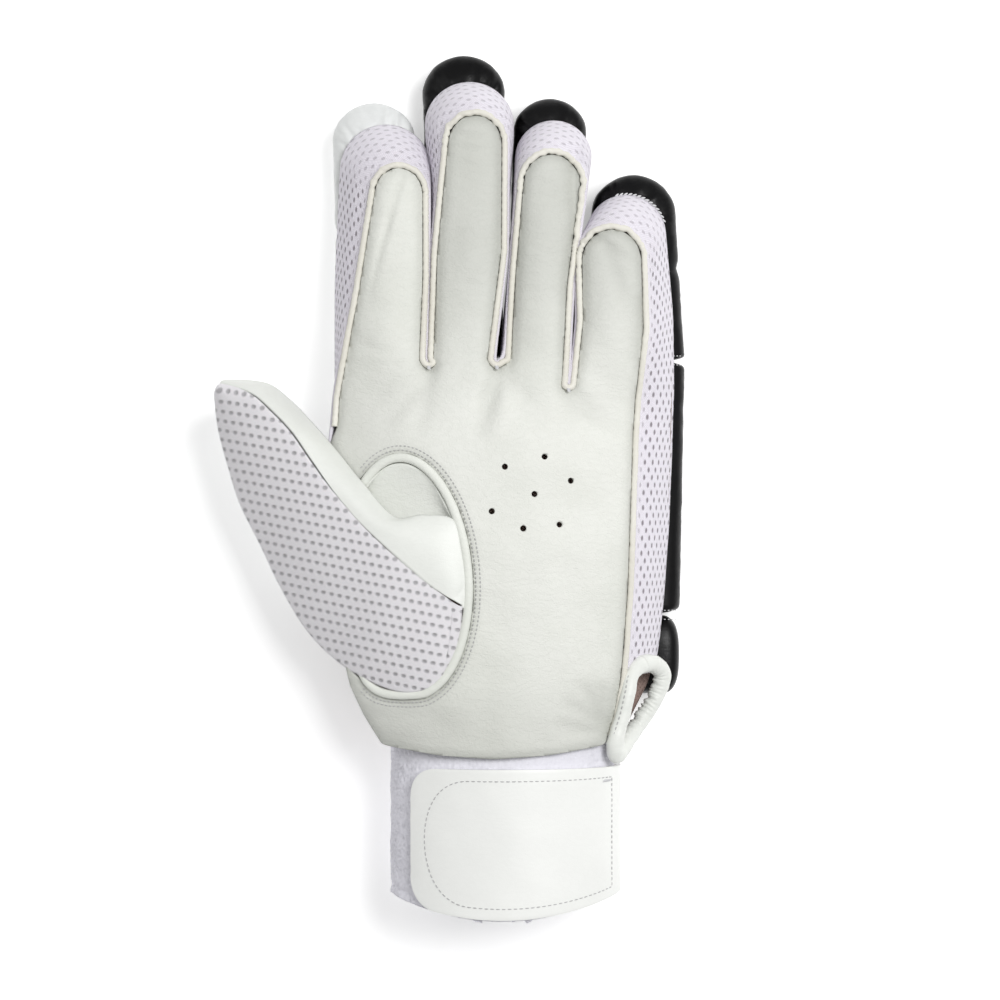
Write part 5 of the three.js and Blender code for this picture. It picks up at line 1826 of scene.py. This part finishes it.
@dataclass
class Stitching:
    """All visible rows of thread."""

    radius: float = 0.2
    hem_inset: float = 0.17

    def thread(
        self, name: str, rows: Sequence[tuple[Sequence[Vector], float, float]], slant: float = 0.0,
        radius: float = 0.0, finish: ThreadFinish = THREAD_FINISH,
    ) -> bpy.types.Object:
        """One piece of several rows.

        Args:
            name: The piece.
            rows: Path, pitch and stitch length of each.
            slant: Turn of each stitch in degrees.
            radius: Of the thread, the usual one where it is 0.
            finish: Its finish.

        Returns:
            The new object.
        """
        work = bmesh.new()
        for path, pitch, length in rows:
            add_stitches(work, path, pitch, length, radius or self.radius, slant)
        return finish_piece(name, work, finish)

    def thumb_rows(self, palm: PalmLeather) -> None:
        """The double row round the thumb hole."""
        rows = []
        for out in (2.5, 3.9):
            plan = [HAND.hole_point(mix(-32, 222, i / 200), out) for i in range(201)]
            path = [Vector((p.x, p.y, palm.leather_height(p.x, p.y) + 0.08)) for p in plan]
            rows.append((path, 1.4, 0.95))
        self.thread("thumb_hole_stitches", rows, finish=GREY_THREAD_FINISH)

    def hem_row(self, thumb: Thumb) -> None:
        """The row along the hem inside the thumb hole."""
        path = [thumb.band_point(1 - self.hem_inset, mix(0.545, 0.69, i / 40), 0.3) for i in range(41)]
        self.thread("hem_stitches", [(path, 1.5, 1.0)], finish=GREY_THREAD_FINISH)

    def crotch_knots(self) -> None:
        """A knot of a few stitches under each fork."""
        rows = []
        for number in range(3):
            x = across(CROTCHES[number][0])
            y = HAND.crotch_y(number) + 0.9
            for k in range(3):
                left = Vector((x - 0.9 + 0.2 * k, y - 0.4 * k))
                right = Vector((x + 0.9 - 0.1 * k, y - 0.25 - 0.4 * k))
                rows.append(([HAND.on_palm(left, 0.3), HAND.on_palm(right, 0.3)], 2.0, 1.5))
        self.thread("crotch_knots", rows, radius=0.24)

    def roll_joints(self) -> None:
        """Dotted rows on both sides of the joints of the little finger's rolls."""
        rows = []
        for line, centre, half in ((KNEE_LINE, 0.61, 0.185), (HAND_ROLL_END - 1.4, 0.6175, 0.16)):
            for side in (-1.5, 1.5):
                path = []
                for i in range(13):
                    share = mix(0.62, 0.93, i / 12)
                    level = math.sqrt(1 - share ** 2.78) ** 0.62
                    z = ROLL_DEPTH * (0.58 + 0.42 * 0.93 * level) + 0.15
                    path.append(Vector((across(centre + half * share), line + side, z)))
                rows.append((path, 1.3, 0.7))
        self.thread("joint_stitches", rows)

    def little_chain(self) -> None:
        """The chain along the little finger's cap."""
        edge = HAND.finger_edge(BACK_STALLS, 3, 0.7)
        count = HAND.side_steps
        part = edge[count + 13:count + HAND.tip_steps - 2]
        path = [Vector((p.x, p.y, ROLL_DEPTH + 1.6)) for p in part]
        self.thread("cap_chain", [(path, 1.5, 1.7)], slant=28.0, radius=0.34)

    def strap_rows(self, wrist: Wrist) -> None:
        """The rows inside the strap's border, its end row and a bar tack."""
        border = []
        inset = 3.2 / STRAP_LENGTH
        fold = wrist.share_at(wrist.fold_turn)
        for i in range(61):
            border.append(wrist.strap_point(mix(fold, 0.22, i / 60), inset, 0.08))
        for i in range(1, 31):
            turn = i / 30
            u = mix(0.22, 0.085, math.sin(turn * math.pi))
            down = mix(inset, 1 - inset, (1 - math.cos(turn * math.pi)) / 2)
            border.append(wrist.strap_point(u, down, 0.08))
        for i in range(1, 61):
            border.append(wrist.strap_point(mix(0.22, fold, i / 60), 1 - inset, 0.08))
        end = [wrist.strap_point(fold, mix(inset, 1 - inset, i / 30), 0.08) for i in range(31)]
        tack = [wrist.strap_point(fold - 0.005 - 0.03 * i / 6, 0.1, 0.1) for i in range(7)]
        self.thread("strap_stitches", [(border, 1.9, 1.35), (end, 1.7, 1.2)], finish=GREY_THREAD_FINISH)
        self.thread("strap_tack", [(tack, 0.6, 1.6)], slant=65.0)


@dataclass
class Studio:
    """Floor, light and camera."""

    camera_height: float = 1.2
    view_width: float = 0.33
    view_level: float = 0.035
    sensor_width: float = 36.0
    photo_scale: float = 0.33
    photo_middle: float = 500.0
    plan_origin: tuple[float, float] = (453.5, 487.5)

    def floor(self) -> None:
        """A wide pale floor."""
        work = bmesh.new()
        bmesh.ops.create_grid(work, x_segments=1, y_segments=1, size=3.0)
        mesh = bpy.data.meshes.new("floor")
        work.to_mesh(mesh)
        work.free()
        plate = bpy.data.objects.new("floor", mesh)
        bpy.context.scene.collection.objects.link(plate)
        material = bpy.data.materials.new("pale floor")
        material.use_nodes = True
        shader = material.node_tree.nodes["Principled BSDF"]
        shader.inputs["Base Color"].default_value = (0.92, 0.92, 0.92, 1)
        shader.inputs["Roughness"].default_value = 0.9
        shader.inputs["Emission Color"].default_value = (1, 1, 1, 1)
        shader.inputs["Emission Strength"].default_value = 0.4
        mesh.materials.append(material)
        plate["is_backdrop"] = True

    def light(self, name: str, place: Sequence[float], size: float, power: float) -> None:
        """A square soft light that looks at the glove."""
        data = bpy.data.lights.new(name, "AREA")
        data.shape = "SQUARE"
        data.size = size
        data.energy = power
        lamp = bpy.data.objects.new(name, data)
        lamp.location = place
        lamp.rotation_euler = (Vector((0, 0, 0.03)) - Vector(place)).to_track_quat("-Z", "Y").to_euler()
        bpy.context.scene.collection.objects.link(lamp)

    def build(self) -> None:
        """Sets the floor, lights, world and camera."""
        scene = bpy.context.scene
        self.floor()
        self.light("key", (0.55, 0.3, 1.3), 0.6, 14.5)
        self.light("fill", (-0.9, 0.5, 1.3), 1.2, 3.6)
        world = bpy.data.worlds.new("studio")
        world.use_nodes = True
        world.node_tree.nodes["Background"].inputs[0].default_value = (1, 1, 1, 1)
        world.node_tree.nodes["Background"].inputs[1].default_value = 0.33
        scene.world = world
        scene.view_settings.view_transform = "Standard"
        data = bpy.data.cameras.new("camera")
        data.sensor_width = self.sensor_width
        data.lens = self.sensor_width * (self.camera_height - self.view_level) / self.view_width
        camera = bpy.data.objects.new("camera", data)
        right = (self.photo_middle - self.plan_origin[0]) * self.photo_scale
        up = (self.plan_origin[1] - self.photo_middle) * self.photo_scale
        centre = placed((right, up, 0))
        camera.location = (centre.x, centre.y, self.camera_height)
        scene.collection.objects.link(camera)
        scene.camera = camera


def main() -> None:
    """Builds the glove piece by piece and sets up the studio."""
    logging.basicConfig(level=logging.INFO, format="%(name)s %(message)s")
    Studio().build()
    palm = PalmLeather()
    palm.leather()
    FingerPiping().edge()
    walls = FingerWalls()
    for number in range(4):
        walls.wall(number)
    back = BackOfHand()
    back.panel()
    back.rolls()
    thumb = Thumb()
    thumb.panels()
    thumb.rim()
    thumb.rolls()
    wrist = Wrist()
    wrist.band()
    wrist.strap()
    slit = SideSlit()
    slit.binding()
    slit.gusset()
    stitching = Stitching()
    stitching.thumb_rows(palm)
    stitching.hem_row(thumb)
    stitching.crotch_knots()
    stitching.roll_joints()
    stitching.little_chain()
    stitching.strap_rows(wrist)
    stitching.thread("slit_stitches", [(slit.strip_line(), 1.8, 1.2)], finish=GREY_THREAD_FINISH)
    sizes = {"cad": CAD_BOUNDS, "looks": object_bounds()}
    {key: [list(corner) for corner in value] for key, value in sizes.items()}


if __name__ == "__main__":
    main()
